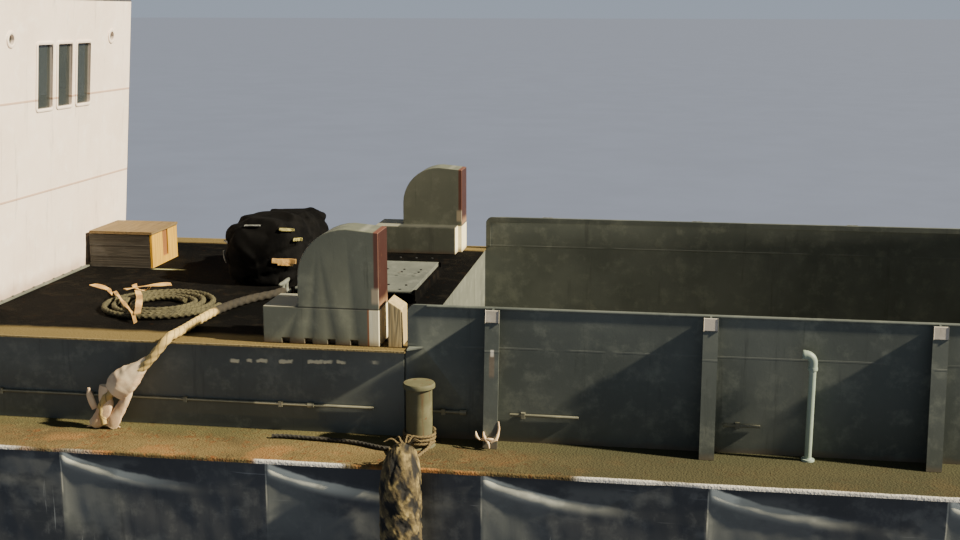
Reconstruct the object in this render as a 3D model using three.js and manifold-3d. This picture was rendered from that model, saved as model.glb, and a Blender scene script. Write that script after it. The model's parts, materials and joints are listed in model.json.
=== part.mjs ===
import * as THREE from 'three';
import { mergeVertices } from 'three/addons/utils/BufferGeometryUtils.js';
import Module from 'manifold-3d';

const wasm = await Module();
wasm.setup();

// A steel mechanised landing craft: bow ramp, open cargo well, raised engine-room deck and a pilothouse aft.
// Millimetres. +X is the bow, +Y is port, +Z is up. The flat bottom lies at z = 0, amidships is x = 0.

// Driving dimensions
const halfLength = 8550;
const sternCut = -7300; // aft end of the raised engine deck
const wellAft = -3200; // forward face of the engine-room bulkhead
const sheerStart = 4200; // where the deck starts to rise towards the bow
const engineDeckZ = 2090;
const plate = 12; // deck and coaming plate
const gap = 0.3; // air between pieces that touch
const lip = 25; // the side plating lies this far inside the deck edge
const lidAir = 6; // air between a hinged lid and its rim
const sides = { starboard: -1, port: 1 };

// Side deck, half width of the well, well floor and coaming top, all level up to the sheer
const level = { deck: 1540, well: 1660, floor: 760, rail: 2360 };

// Lines of the hull: half breadth, bottom height, side-deck height, half width of the well, well floor, rail
const lines = [
  { x: -halfLength, beam: 1900, bottom: 620, bilge: 150, ...level },
  { x: -8440, beam: 2040, bottom: 605, bilge: 160, ...level },
  { x: -8240, beam: 2130, bottom: 580, bilge: 180, ...level },
  { x: -7800, beam: 2180, bottom: 510, bilge: 220, ...level },
  { x: sternCut, beam: 2180, bottom: 430, bilge: 240, ...level },
  { x: -6000, beam: 2180, bottom: 200, bilge: 260, ...level },
  { x: -4600, beam: 2180, bottom: 0, bilge: 260, ...level },
  { x: wellAft, beam: 2180, bottom: 0, bilge: 260, ...level },
  { x: sheerStart, beam: 2180, bottom: 0, bilge: 260, ...level },
  { x: 4900, beam: 2165, bottom: 0, bilge: 260, deck: 1572, well: 1645, floor: 760, rail: 2385 },
  { x: 5600, beam: 2125, bottom: 55, bilge: 250, deck: 1655, well: 1622, floor: 760, rail: 2450 },
  { x: 6300, beam: 2065, bottom: 200, bilge: 230, deck: 1785, well: 1596, floor: 775, rail: 2555 },
  { x: 7000, beam: 1985, bottom: 440, bilge: 200, deck: 1955, well: 1568, floor: 810, rail: 2700 },
  { x: 8600, beam: 1800, bottom: 1080, bilge: 150, deck: 2360, well: 1504, floor: 890, rail: 3050 },
];
const foreEnd = 7600; // last station of the bow, whose points are set on the bow face
const bowRows = lines.map((row) => row.x).filter((x) => x > sheerStart && x < foreEnd);

// Bow ramp, measured along the closed ramp from its hinge
const ramp = {
  lean: 19.6,
  length: 2320,
  start: 60,
  thick: 110,
  axisIn: 50, // hinge axis this far out from the inner face
  half: 1725,
  hingeZ: 800,
  faceGap: 12, // from the closed ramp back to the bow face
};
const lean = THREE.MathUtils.degToRad(ramp.lean);
const hingeX = halfLength - ramp.length * Math.sin(lean) - (ramp.thick - ramp.axisIn) * Math.cos(lean);

// Hinge of the ramp: lugs on the hull, arms on the ramp between them, and the rod through both
const rampLug = { at: [-1350, -450, 450, 1350], half: 30, r: 45, back: 160 };
const rampArm = { at: [-1270, -800, 640, 1110], width: 160, r: 42 };
const rampRod = { r: 25, half: 1390, air: 6 };
const lattice = { first: -1500, pitch: 515, width: 425, count: 6, channel: [180, 1210] };
const latticeRows = [
  [1300, 1560],
  [1630, 1890],
  [1960, 2220],
];
const rampEye = { y: 1640, low: 2100, high: 2200, out: 40, half: 12, boreR: 14 };
const bowPost = { aft: 8000, fore: 8110, inner: 1640, outer: 1750, top: 3060, braceAft: 7500 };
const sheave = { x: 8055, z: 3000, r: 115, inner: 1630, outer: 1760 };

// Running gear under the stern, and the tunnels over the propellers
const gear = { y: 950, shaftZ: 460, tunnel: 480, tunnelZ: 450, propX: -6950, propR: 395, stockX: -7450 };
const tunnelRows = [
  { x: -4950, z: gear.tunnelZ - 950 },
  { x: -6500, z: gear.tunnelZ },
  { x: -7900, z: gear.tunnelZ },
  { x: -8700, z: gear.tunnelZ - 350 },
];
const skeg = { aft: -6700, fore: -4900, half: 45, high: 1100, bossR: 75, bossFore: -6300, boreR: 40 };
const heel = { aft: -7560, fore: -6600, high: 50 };
const screw = { hubR: 78, capR: 45, shaftR: 34, blades: 4, thick: 16, width: 125, twist: 35 };
const rudder = { low: 80, high: 780, stockR: 40, stockLow: 58, stockHigh: 1048, boreR: 46, boreHigh: 1055 };
const exhaust = { y: 1250, z: 1150, r: 60, deep: 200 };

// T stays outside the coaming, and the hull frames under them
const stay = { first: -2660, pitch: 1254.5, count: 8, flange: 85, foot: 150, head: 60, web: 10 };

// Deck gear near the break between engine deck and well, starboard numbers, mirrored to port
const guard = { aft: -3850, fore: -3350, top: 2802, round: 305, outer: 1658, inner: 1415 };
const guardBase = { aft: -4070, fore: -3388, top: 2320, inner: 1300 };
const drain = { first: 140, pitch: 142, count: 4, half: 22, high: 34, deep: 40 };
const timber = { aft: -3298, fore: -3215, top: 2378, foreTop: 2325, inner: 1478 };
const bitt = { r: 78, high: 390, capR: 96, cap: 36 };
const bittAt = { mid: [-3083, 1800], aft: [-7900, 1750], fore: [5700, 1870] };
const ventPipe = { x: -830, y: 1722, r: 20, high: 652, bend: 46, elbowR: 25, mouth: 12 };
const fender = { x: -3090, y: 2314, r: 125, low: 690, high: 1600, end: 80 };

// Engine deck and its hatch, rope gear and locker
const hatch = { aft: -4200, fore: -3400, half: 450, rim: 40, rimHigh: 60, lid: 30 };
const hatchGrip = { x: [-3850, -3750], y: [60, 90], high: 30 };
const knuckle = { long: 18, out: 34, rise: 36 };
const ledge = 75; // overhang of the engine deck past the trunk side
const ladder = { rungs: [1010, 1310, 1610, 1910], inner: -700, outer: -300, off: 80, r: 14 };
const cleat = { x: -4350, y: -330, half: 35, high: 70, bar: 120, barR: 18 };
const coil = { x: -5055, y: -850, inner: 140, outer: 425, high: 54 };
const ventilator = { x: -6650, y: 1460, stem: 80, cap: 150, high: 260 };
const bundle = { aft: -4960, fore: -4290, low: -150, high: 1010, top: 520, square: 0.55 };
const locker = { aft: -6160, fore: -5640, low: 390, high: 900, top: 2350, wall: 20 };
const hold = { aft: -5300, fore: -3300, half: 1450, low: 350 }; // engine room inside the hull
const engine = { aft: -5150, fore: -3420, inner: 500, outer: 1300, high: 1100 };
const lazarette = { aft: -8350, fore: -7800, half: 275, low: 820, rim: 20, rimHigh: 55, lid: 25 };

// Coaming: band inside its top edge, the rounded aft corner and the step below the engine deck
const rim = { band: 40, thick: 10, round: 52, aft: -3179, low: 2110, step: 2077 };
const gusset = { fore: -3075, low: 2094, thick: 10, stand: 70, root: 5 };

// Pilothouse
const house = { aft: -7250, fore: -6207, foreTop: -6030, half: 1135, top: 4200, wall: 40, roof: 40, eave: 60 };
const door = { half: 300, low: 2140, high: 3840, lap: 25, thick: 30, air: 8 };
const pane = { low: 3380, high: 3830, foreHalf: 110, sideHalf: 165 };
const forePanes = [-300, 0, 300];
const sidePanes = [-6920, -6460];
const port = { y: 775, z: 3874, r: 35 };
const doorPane = { half: 150, low: 3350, high: 3700 };
const doorHinges = [2350, 3000, 3650];
const doorGrip = { y: -230, low: 2900, high: 3080, off: 45 };
const desk = { aft: -6560, half: 520, top: 3080 };
const wheel = { x: -6650, z: 2900, r: 250, rim: 17 };
const mast = { x: -6950, r: 32, top: 5200, yardZ: 4850, yardHalf: 420, lampTop: 5350 };
const searchlight = { x: -6290, aft: -6370, fore: -6180, rise: 240, r: 130 };

const materials = {
  hull: [0x39424a, 0.6, 0.2],
  grey: [0x5d6358, 0.7, 0.2],
  deck: [0x8a6f4d, 0.9, 0.1],
  pale: [0xd8c4b4, 0.7, 0.1],
  timber: [0xb58b55, 0.8, 0],
  bronze: [0x9c7c3c, 0.4, 0.8],
  dark: [0x2c2e2c, 0.6, 0.3],
  rope: [0xb49a6c, 0.95, 0],
};

const craft = new THREE.Group();

// A line of the hull at a station, straight between the table's rows
function at(column, x) {
  const i = Math.max(1, lines.findIndex((row) => row.x >= x));
  const a = lines[i - 1];
  const b = lines[i];
  return a[column] + ((b[column] - a[column]) * (x - a.x)) / (b.x - a.x);
}

// Station where the bow face, parallel to the closed ramp, passes a height
function bowFaceX(z) {
  const back = (ramp.axisIn + ramp.faceGap) / Math.cos(lean);
  return hingeX + (z - ramp.hingeZ) * Math.tan(lean) - back;
}

// Station where the bow face meets an edge whose height changes along the craft
function onBowFace(height) {
  let station = foreEnd;
  for (let i = 0; i < 30; i += 1) {
    station = bowFaceX(height(station));
  }
  return station;
}

// Stations of the table from one end to the other, both ends included
function stations(from, to) {
  return [from, ...lines.map((row) => row.x).filter((x) => x > from + 1 && x < to - 1), to];
}

// Triangles of an outline of [x, y, z] points, seen along x, wound as the outline is
function capFaces(outline) {
  const flat = outline.map((p) => new THREE.Vector2(p[1], p[2]));
  const wound = Math.sign(THREE.ShapeUtils.area(flat));
  return THREE.ShapeUtils.triangulateShape(flat, []).map(([a, b, c]) => {
    const same = Math.sign(THREE.ShapeUtils.area([flat[a], flat[b], flat[c]])) === wound;
    return same ? [a, b, c] : [a, c, b];
  });
}

// Skin through outlines of like point counts, closed at both ends
function loft(sections) {
  const count = sections[0].length;
  const index = [];
  for (let i = 0; i + 1 < sections.length; i += 1) {
    for (let j = 0; j < count; j += 1) {
      const a = i * count + j;
      const b = i * count + ((j + 1) % count);
      index.push(a, b, b + count, a, b + count, a + count);
    }
  }
  const last = (sections.length - 1) * count;
  for (const [a, b, c] of capFaces(sections[0])) {
    index.push(c, b, a);
  }
  for (const [a, b, c] of capFaces(sections[sections.length - 1])) {
    index.push(last + a, last + b, last + c);
  }
  const geometry = new THREE.BufferGeometry();
  geometry.setAttribute('position', new THREE.Float32BufferAttribute(sections.flat(2), 3));
  geometry.setIndex(index);
  return outward(geometry);
}

// The same skin with its faces turned outwards
function outward(geometry) {
  const p = geometry.attributes.position;
  const index = geometry.index.array;
  const [a, b, c] = [new THREE.Vector3(), new THREE.Vector3(), new THREE.Vector3()];
  let volume = 0;
  for (let i = 0; i < index.length; i += 3) {
    a.fromBufferAttribute(p, index[i]);
    b.fromBufferAttribute(p, index[i + 1]);
    c.fromBufferAttribute(p, index[i + 2]);
    volume += a.dot(b.cross(c));
  }
  if (volume < 0) {
    for (let i = 0; i < index.length; i += 3) {
      [index[i], index[i + 1]] = [index[i + 1], index[i]];
    }
  }
  return geometry;
}

// Skin through outlines that follow each other across the craft, each seen along y
function loftAcross(sections) {
  const turned = loft(sections.map((outline) => outline.map(([x, y, z]) => [y, -x, z])));
  turned.rotateZ(Math.PI / 2);
  return turned;
}

// Geometry to solid and back
function solid(geometry) {
  const bare = geometry.index ? geometry.clone() : mergeVertices(geometry);
  bare.deleteAttribute('normal');
  bare.deleteAttribute('uv');
  const merged = mergeVertices(bare, 1e-3);
  const vertProperties = Float32Array.from(merged.attributes.position.array);
  const triVerts = Uint32Array.from(merged.index.array);
  return new wasm.Manifold(new wasm.Mesh({ numProp: 3, vertProperties, triVerts }));
}

function geometryOf(body) {
  const mesh = body.getMesh();
  const geometry = new THREE.BufferGeometry();
  const points = [];
  for (let i = 0; i < mesh.vertProperties.length; i += mesh.numProp) {
    points.push(...mesh.vertProperties.slice(i, i + 3));
  }
  geometry.setAttribute('position', new THREE.Float32BufferAttribute(points, 3));
  geometry.setIndex([...mesh.triVerts]);
  return geometry;
}

function fuse(...parts) {
  return parts.reduce((whole, part) => whole.add(part));
}

function cut(whole, ...parts) {
  return parts.reduce((rest, part) => rest.subtract(part), whole);
}

// Plain shapes. Every pair is [low, high]
function box([x0, x1], [y0, y1], [z0, z1]) {
  const geometry = new THREE.BoxGeometry(x1 - x0, y1 - y0, z1 - z0);
  geometry.translate((x0 + x1) / 2, (y0 + y1) / 2, (z0 + z1) / 2);
  return solid(geometry);
}

// A box given for port and laid on either side
function sideBox(xs, [inner, outer], zs, side) {
  return box(xs, side > 0 ? [inner, outer] : [-outer, -inner], zs);
}

// An outline of [x, z] points carried across from one y to another
function acrossY(outline, [y0, y1]) {
  const shape = new THREE.Shape(outline.map(([x, z]) => new THREE.Vector2(x, z)));
  const geometry = new THREE.ExtrudeGeometry(shape, { depth: y1 - y0, bevelEnabled: false });
  geometry.rotateX(Math.PI / 2);
  geometry.translate(0, y1, 0);
  return solid(geometry);
}

function sideAcrossY(outline, [inner, outer], side) {
  return acrossY(outline, side > 0 ? [inner, outer] : [-outer, -inner]);
}

// A round bar from one point to another
function bar(from, to, r, count = 16) {
  const a = new THREE.Vector3(...from);
  const b = new THREE.Vector3(...to);
  const geometry = new THREE.CylinderGeometry(r, r, a.distanceTo(b), count);
  const along = b.clone().sub(a).normalize();
  const turn = new THREE.Quaternion().setFromUnitVectors(new THREE.Vector3(0, 1, 0), along);
  geometry.applyQuaternion(turn);
  geometry.translate((a.x + b.x) / 2, (a.y + b.y) / 2, (a.z + b.z) / 2);
  return solid(geometry);
}

// A round section carried along a route
function tube(points, r, count, steps) {
  const path = new THREE.CatmullRomCurve3(points.map((p) => new THREE.Vector3(...p)), false, 'centripetal');
  const section = new THREE.Shape();
  section.absarc(0, 0, r, 0, 2 * Math.PI);
  const round = new THREE.Shape(section.getSpacedPoints(count).slice(0, -1));
  const geometry = new THREE.ExtrudeGeometry(round, { steps, extrudePath: path, bevelEnabled: false });
  return solid(geometry);
}

// Points of an arc in a plane, angles in degrees
function arc([u, v], r, from, to, steps) {
  return Array.from({ length: steps + 1 }, (_, i) => {
    const angle = THREE.MathUtils.degToRad(from + ((to - from) * i) / steps);
    return [u + r * Math.cos(angle), v + r * Math.sin(angle)];
  });
}

// Name a piece, colour it and put it in the craft
function add(name, body, look) {
  const [color, roughness, metalness] = materials[look];
  const material = new THREE.MeshStandardMaterial({ color, roughness, metalness });
  const geometry = body instanceof THREE.BufferGeometry ? body : geometryOf(body);
  geometry.computeVertexNormals();
  const mesh = new THREE.Mesh(geometry, material);
  mesh.name = name;
  craft.add(mesh);
}

// Half outline of the hull skin at a station, from the port deck edge down to the flat bottom, as [y, z]
function halfSkin(x) {
  const beam = at('beam', x) - lip;
  const bottom = at('bottom', x);
  const r = at('bilge', x);
  return [[beam, at('deck', x) - plate], ...arc([beam - r, bottom + r], r, 0, -90, 4)];
}

// Whole outline at a station, solid or open down to the well floor, its points set on the bow face if asked
function hullOutline(x, open, leaning = false) {
  const place = (height) => (leaning ? onBowFace(height) : x);
  const outline = [];
  if (open) {
    for (const height of [(s) => at('floor', s) - plate, (s) => at('deck', s) - plate]) {
      const station = place(height);
      outline.push([station, at('well', station), height(station)]);
    }
  }
  halfSkin(x).forEach((_, i) => {
    const station = place((s) => halfSkin(s)[i][1]);
    outline.push([station, ...halfSkin(station)[i]]);
  });
  const mirrored = outline.map(([px, y, z]) => [px, -y, z]).reverse();
  return [...outline, ...mirrored];
}

// Hull blocks: stern with its tunnels and hollows, open midship block, and bow with the ramp's lugs
function hullBlocks() {
  let stern = solid(loft(stations(-halfLength, wellAft - gap).map((x) => hullOutline(x, false))));
  for (const side of Object.values(sides)) {
    const rings = tunnelRows.map(({ x, z }) =>
      arc([side * gear.y, z], gear.tunnel, 0, 345, 23).map(([y, ringZ]) => [x, y, ringZ]),
    );
    stern = cut(stern, solid(loft(rings)));
  }
  skegs(stern);
  for (const side of Object.values(sides)) {
    const y = side * gear.y;
    const pipe = [side * exhaust.y, exhaust.z];
    stern = cut(
      stern,
      bar([gear.stockX, y, rudder.high], [gear.stockX, y, rudder.boreHigh], rudder.boreR),
      bar([-halfLength, ...pipe], [-halfLength + exhaust.deep, ...pipe], exhaust.r),
    );
  }
  const above = level.deck + 100;
  stern = cut(
    stern,
    box([hold.aft, hold.fore], [-hold.half, hold.half], [hold.low, above]),
    box([lazarette.aft, lazarette.fore], [-lazarette.half, lazarette.half], [lazarette.low, above]),
  );
  add('hull_stern', stern, 'hull');

  add('hull_midship', loft([wellAft, sheerStart].map((x) => hullOutline(x, true))), 'hull');

  const rows = [sheerStart + gap, ...bowRows].map((x) => hullOutline(x, true));
  let bow = solid(loft([...rows, hullOutline(foreEnd, true, true)]));
  const outline = [
    ...arc([hingeX, ramp.hingeZ], rampLug.r, -90, 120, 10),
    [hingeX - rampLug.r, ramp.hingeZ + 14],
    [hingeX - rampLug.back, ramp.hingeZ],
    [hingeX - rampLug.back, ramp.hingeZ - rampLug.r],
  ];
  for (const y of rampLug.at) {
    bow = fuse(bow, acrossY(outline, [y - rampLug.half, y + rampLug.half]));
  }
  const rod = bar([hingeX, -rampRod.half, ramp.hingeZ], [hingeX, rampRod.half, ramp.hingeZ], rampRod.r);
  add('hull_bow', fuse(bow, rod), 'hull');
}

// Skegs ahead of the propellers, with the shaft boss and the heel that carries the rudder
function skegs(stern) {
  for (const [name, side] of Object.entries(sides)) {
    const y = side * gear.y;
    const width = [y - skeg.half, y + skeg.half];
    const keel = box([skeg.aft, skeg.fore], width, [gap, skeg.high]);
    const boss = bar([skeg.aft, y, gear.shaftZ], [skeg.bossFore, y, gear.shaftZ], skeg.bossR, 20);
    const shoe = box([heel.aft, heel.fore], width, [gap, heel.high]);
    const bore = bar([skeg.aft - 1, y, gear.shaftZ], [skeg.aft + 100, y, gear.shaftZ], skeg.boreR);
    add(`skeg_${name}`, cut(fuse(keel, boss, shoe), stern, bore).translate([0, 0, -gap]), 'hull');
  }
}

// Everything lower than the bow side deck, raised or lowered by an offset
function below(side, offset) {
  const last = lines[lines.length - 1].x;
  const [inner, outer] = [side * 1400, side * 2300];
  const sections = stations(sheerStart, last).map((x) => {
    const z = at('deck', x) + offset;
    return [[x, inner, z - 400], [x, outer, z - 400], [x, outer, z], [x, inner, z]];
  });
  return solid(loft(sections));
}

// A bitt: post and wider cap
function bittSolid(x, y, z, sunk = 0) {
  const foot = bar([x, y, z - sunk], [x, y, z + bitt.high - bitt.cap], bitt.r, 24);
  const cap = bar([x, y, z + bitt.high - bitt.cap], [x, y, z + bitt.high], bitt.capR, 24);
  return fuse(foot, cap);
}

// Side decks with the fore bitts, stern deck with its hatch and bitts, and the well floor
function decks() {
  for (const [name, side] of Object.entries(sides)) {
    const strip = (x, leaning) => {
      const station = leaning ? onBowFace((s) => at('deck', s)) : x;
      const z = at('deck', station);
      const low = z - plate + gap;
      const well = at('well', station) + gap;
      const beam = at('beam', station);
      const corners = [[well, low], [beam, low], [beam, z], [well, z]];
      return corners.map(([y, height]) => [leaning ? bowFaceX(height) : x, side * y, height]);
    };
    const rows = [sternCut, wellAft, sheerStart, ...bowRows].map((x) => strip(x, false));
    const [x, y] = bittAt.fore;
    const post = bittSolid(x, side * y, at('deck', x), 30);
    const skin = solid(loft([...rows, strip(foreEnd, true)]));
    add(`side_deck_${name}`, fuse(skin, cut(post, below(side, gap - plate))), 'deck');
  }

  const deckZ = level.deck;
  const sternRows = stations(-halfLength, sternCut - gap).map((x) => {
    const beam = at('beam', x);
    const low = deckZ - plate + gap;
    return [[x, -beam, low], [x, beam, low], [x, beam, deckZ], [x, -beam, deckZ]];
  });
  const { aft, fore, half, rim, rimHigh, lid } = lazarette;
  const rimX = [aft - rim, fore + rim];
  const rimY = [-half - rim, half + rim];
  let deck = fuse(solid(loft(sternRows)), box(rimX, rimY, [deckZ - 5, deckZ + rimHigh]));
  deck = cut(deck, box([aft, fore], [-half, half], [deckZ - 40, deckZ + 160]));
  for (const side of Object.values(sides)) {
    deck = fuse(deck, bittSolid(bittAt.aft[0], side * bittAt.aft[1], deckZ, 5));
  }
  add('stern_deck', deck, 'deck');
  const lidZ = deckZ + rimHigh + lidAir;
  add('stern_hatch_lid', box(rimX, rimY, [lidZ, lidZ + lid]), 'grey');

  const floorRow = (x, leaning) => {
    const station = leaning ? onBowFace((s) => at('floor', s)) : x;
    const z = at('floor', station);
    const half = at('well', station) - plate - 3 * gap;
    const corners = [[-half, z - plate + gap], [half, z - plate + gap], [half, z], [-half, z]];
    return corners.map(([y, height]) => [leaning ? bowFaceX(height) : x, y, height]);
  };
  const floorRows = [wellAft + plate + gap, sheerStart, ...bowRows].map((x) => floorRow(x, false));
  add('well_deck', loft([...floorRows, floorRow(foreEnd, true)]), 'deck');
}

// Coamings with their T stays, top band and rounded aft corner
function coamings() {
  for (const [name, side] of Object.entries(sides)) {
    const rows = [rim.aft + rim.round, sheerStart, ...bowRows].map((x) => coamingRow(x, side, false));
    let wall = solid(loft([...rows, coamingRow(foreEnd, side, true)]));
    wall = fuse(wall, ...coamingEnd(side), aftGusset(side));
    for (let i = 0; i < stay.count; i += 1) {
      wall = fuse(wall, ...teeStay(stay.first + i * stay.pitch, side));
    }
    add(`coaming_${name}`, wall, 'grey');
  }
}

// Section of the coaming at a station: plate, and a band inside its top
function coamingRow(x, side, leaning) {
  const foot = (s) => at('floor', s) - plate + gap;
  const top = (s) => at('rail', s);
  const thick = plate + rim.thick;
  const corners = [
    [-plate, foot],
    [0, foot],
    [0, top],
    [-thick, top],
    [-thick, (s) => top(s) - rim.band],
    [-plate, (s) => top(s) - rim.band],
  ];
  return corners.map(([offset, height]) => {
    const station = leaning ? onBowFace(height) : x;
    return [station, side * (at('well', station) - gap + offset), height(station)];
  });
}

// Aft end of a coaming: plain plate, and the band round the corner and down
function coamingEnd(side) {
  const face = level.well - gap;
  const top = level.rail;
  const low = level.floor - plate + gap;
  const { round, aft, band, thick } = rim;
  const overlap = aft + round + 1;
  const centre = [aft + round, top - round];
  const foot = wellAft + plate + 2 * gap;
  const wall = [
    [overlap, low],
    [overlap, top],
    ...arc(centre, round, 90, 180, 6),
    [aft, rim.step],
    [foot, rim.step],
    [foot, low],
  ];
  const bent = [
    [overlap, top],
    ...arc(centre, round, 90, 180, 6),
    [aft, rim.low],
    [aft + band, rim.low],
    ...arc(centre, round - band, 180, 90, 6),
    [overlap, top - band],
  ];
  return [
    sideAcrossY(wall, [face - plate, face], side),
    sideAcrossY(bent, [face - plate - thick, face - plate + 1], side),
  ];
}

// Three-cornered gusset on the aft end of a coaming, just forward of the timber block
function aftGusset(side) {
  const inner = level.well - gusset.root;
  const edge = level.well + gusset.stand;
  const shape = new THREE.Shape([
    new THREE.Vector2(rim.aft + 10, side * inner),
    new THREE.Vector2(rim.aft + 10, side * edge),
    new THREE.Vector2(gusset.fore, side * inner),
  ]);
  const shelf = new THREE.ExtrudeGeometry(shape, { depth: gusset.thick, bevelEnabled: false });
  shelf.translate(0, 0, gusset.low);
  return solid(shelf);
}

// A T stay leaning in towards the top of the coaming: web and outer flange
function teeStay(x, side) {
  const base = at('well', x) - gap;
  const foot = at('deck', x + stay.flange / 2) + 2;
  const head = at('rail', x - stay.flange / 2) - 3;
  const slice = (inner, outer) => (station) => [
    [station, side * (base + inner[0]), foot],
    [station, side * (base + outer[0]), foot],
    [station, side * (base + outer[1]), head],
    [station, side * (base + inner[1]), head],
  ];
  const web = slice([-4, -4], [stay.foot - 1, stay.head - 1]);
  const cap = slice([stay.foot - 10, stay.head - 10], [stay.foot, stay.head]);
  return [
    solid(loft([web(x - stay.web / 2), web(x + stay.web / 2)])),
    solid(loft([cap(x - stay.flange / 2), cap(x + stay.flange / 2)])),
  ];
}

// Engine trunk, and the bulkhead with its ladder at the well
function engineTrunk() {
  const low = level.deck - plate + gap;
  const wall = cut(
    box([sternCut, wellAft - gap], [-level.well, level.well], [low, engineDeckZ - plate]),
    box(
      [sternCut + plate, wellAft - gap - plate],
      [-level.well + plate, level.well - plate],
      [low - 1, engineDeckZ],
    ),
  );
  add('engine_trunk', wall, 'grey');

  const half = level.well - plate - 3 * gap;
  const heights = [level.floor - plate + gap, engineDeckZ - plate - gap];
  let bulkhead = box([wellAft + gap, wellAft + plate], [-half, half], heights);
  const stand = wellAft + ladder.off;
  for (const z of ladder.rungs) {
    bulkhead = fuse(bulkhead, bar([stand, ladder.inner, z], [stand, ladder.outer, z], ladder.r, 10));
    for (const y of [ladder.inner + 10, ladder.outer - 10]) {
      bulkhead = fuse(bulkhead, bar([wellAft + plate / 2, y, z], [stand, y, z], ladder.r - 2, 10));
    }
  }
  add('well_bulkhead', bulkhead, 'grey');
}

// Engine deck with the hatch rim and two ventilators, the hatch lids, and the engines below
function engineDeck() {
  const edge = level.well + ledge;
  const rimX = [hatch.aft - hatch.rim, hatch.fore + hatch.rim];
  const rimHalf = hatch.half + hatch.rim;
  const top = engineDeckZ + hatch.rimHigh;
  let deck = box([sternCut, wellAft + 20], [-edge, edge], [engineDeckZ - plate + gap, engineDeckZ]);
  deck = fuse(deck, box(rimX, [-rimHalf, rimHalf], [engineDeckZ - 4, top]));
  deck = cut(deck, box([hatch.aft, hatch.fore], [-hatch.half, hatch.half], [engineDeckZ - 90, top + 10]));
  for (const side of Object.values(sides)) {
    for (const x of [rimX[0], rimX[1] - knuckle.long]) {
      const across = [rimHalf - 2, rimHalf + knuckle.out];
      deck = fuse(deck, sideBox([x, x + knuckle.long], across, [top - 40, top + knuckle.rise], side));
    }
    const { x, y, stem, cap, high } = ventilator;
    const head = engineDeckZ + high;
    deck = fuse(
      deck,
      bar([x, side * y, engineDeckZ - 5], [x, side * y, head], stem, 20),
      bar([x, side * y, head - 5], [x, side * y, head + 60], cap, 24),
    );
  }
  add('engine_deck', deck, 'grey');

  const low = top + lidAir;
  const high = low + hatch.lid;
  const leafX = [rimX[0] + 24, rimX[1] - 24];
  for (const [name, side] of Object.entries(sides)) {
    const leaf = sideBox(leafX, [3, rimHalf], [low, high], side);
    const [y, z] = [side * (rimHalf + 15), low + 15];
    const rod = bar([leafX[0], y, z], [leafX[1], y, z], 14, 12);
    const strap = sideBox(leafX, [rimHalf - 5, rimHalf + 8], [low + 5, high - 5], side);
    const grip = sideBox(hatchGrip.x, hatchGrip.y, [high - 2, high + hatchGrip.high], side);
    add(`engine_hatch_lid_${name}`, fuse(leaf, rod, strap, grip), 'grey');
  }

  const floor = hold.low + gap;
  for (const [name, side] of Object.entries(sides)) {
    const across = [engine.inner, engine.outer];
    const block = sideBox([engine.aft, engine.fore], across, [floor, floor + engine.high], side);
    add(`engine_${name}`, block, 'dark');
  }
}

// Propellers on their shafts, and the rudders behind them
function runningGear() {
  for (const [name, side] of Object.entries(sides)) {
    const y = side * gear.y;
    const z = gear.shaftZ;
    let whole = fuse(
      bar([gear.propX - 90, y, z], [gear.propX + 80, y, z], screw.hubR, 20),
      bar([gear.propX - 140, y, z], [gear.propX - 80, y, z], screw.capR, 20),
      bar([gear.propX, y, z], [skeg.aft + 95, y, z], screw.shaftR),
    );
    const leaf = new THREE.Shape();
    leaf.absellipse(0, gear.propR * 0.58, screw.width, gear.propR * 0.42, 0, 2 * Math.PI);
    const outline = new THREE.Shape(leaf.getPoints(14).slice(0, -1));
    for (let i = 0; i < screw.blades; i += 1) {
      const blade = new THREE.ExtrudeGeometry(outline, { depth: screw.thick, bevelEnabled: false });
      blade.translate(0, 0, -screw.thick / 2);
      blade.rotateY(THREE.MathUtils.degToRad(side * screw.twist + 90));
      blade.rotateX(Math.PI / 2 + (i * 2 * Math.PI) / screw.blades);
      blade.translate(gear.propX, y, z);
      whole = fuse(whole, solid(blade));
    }
    add(`propeller_${name}`, whole, 'bronze');

    const chord = [
      [gear.stockX + 150, 0],
      [gear.stockX + 110, 28],
      [gear.stockX, 45],
      [gear.stockX - 200, 30],
      [gear.stockX - 400, 6],
    ];
    const mirrored = chord.slice(1).map(([x, t]) => [x, -t]).reverse();
    const shape = new THREE.Shape([...chord, ...mirrored].map(([x, t]) => new THREE.Vector2(x, t)));
    const depth = rudder.high - rudder.low;
    const plane = new THREE.ExtrudeGeometry(shape, { depth, bevelEnabled: false });
    plane.translate(0, y, rudder.low);
    const ends = [rudder.stockLow, rudder.stockHigh].map((height) => [gear.stockX, y, height]);
    add(`rudder_${name}`, fuse(solid(plane), bar(...ends, rudder.stockR, 20)), 'hull');
  }
}

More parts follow.
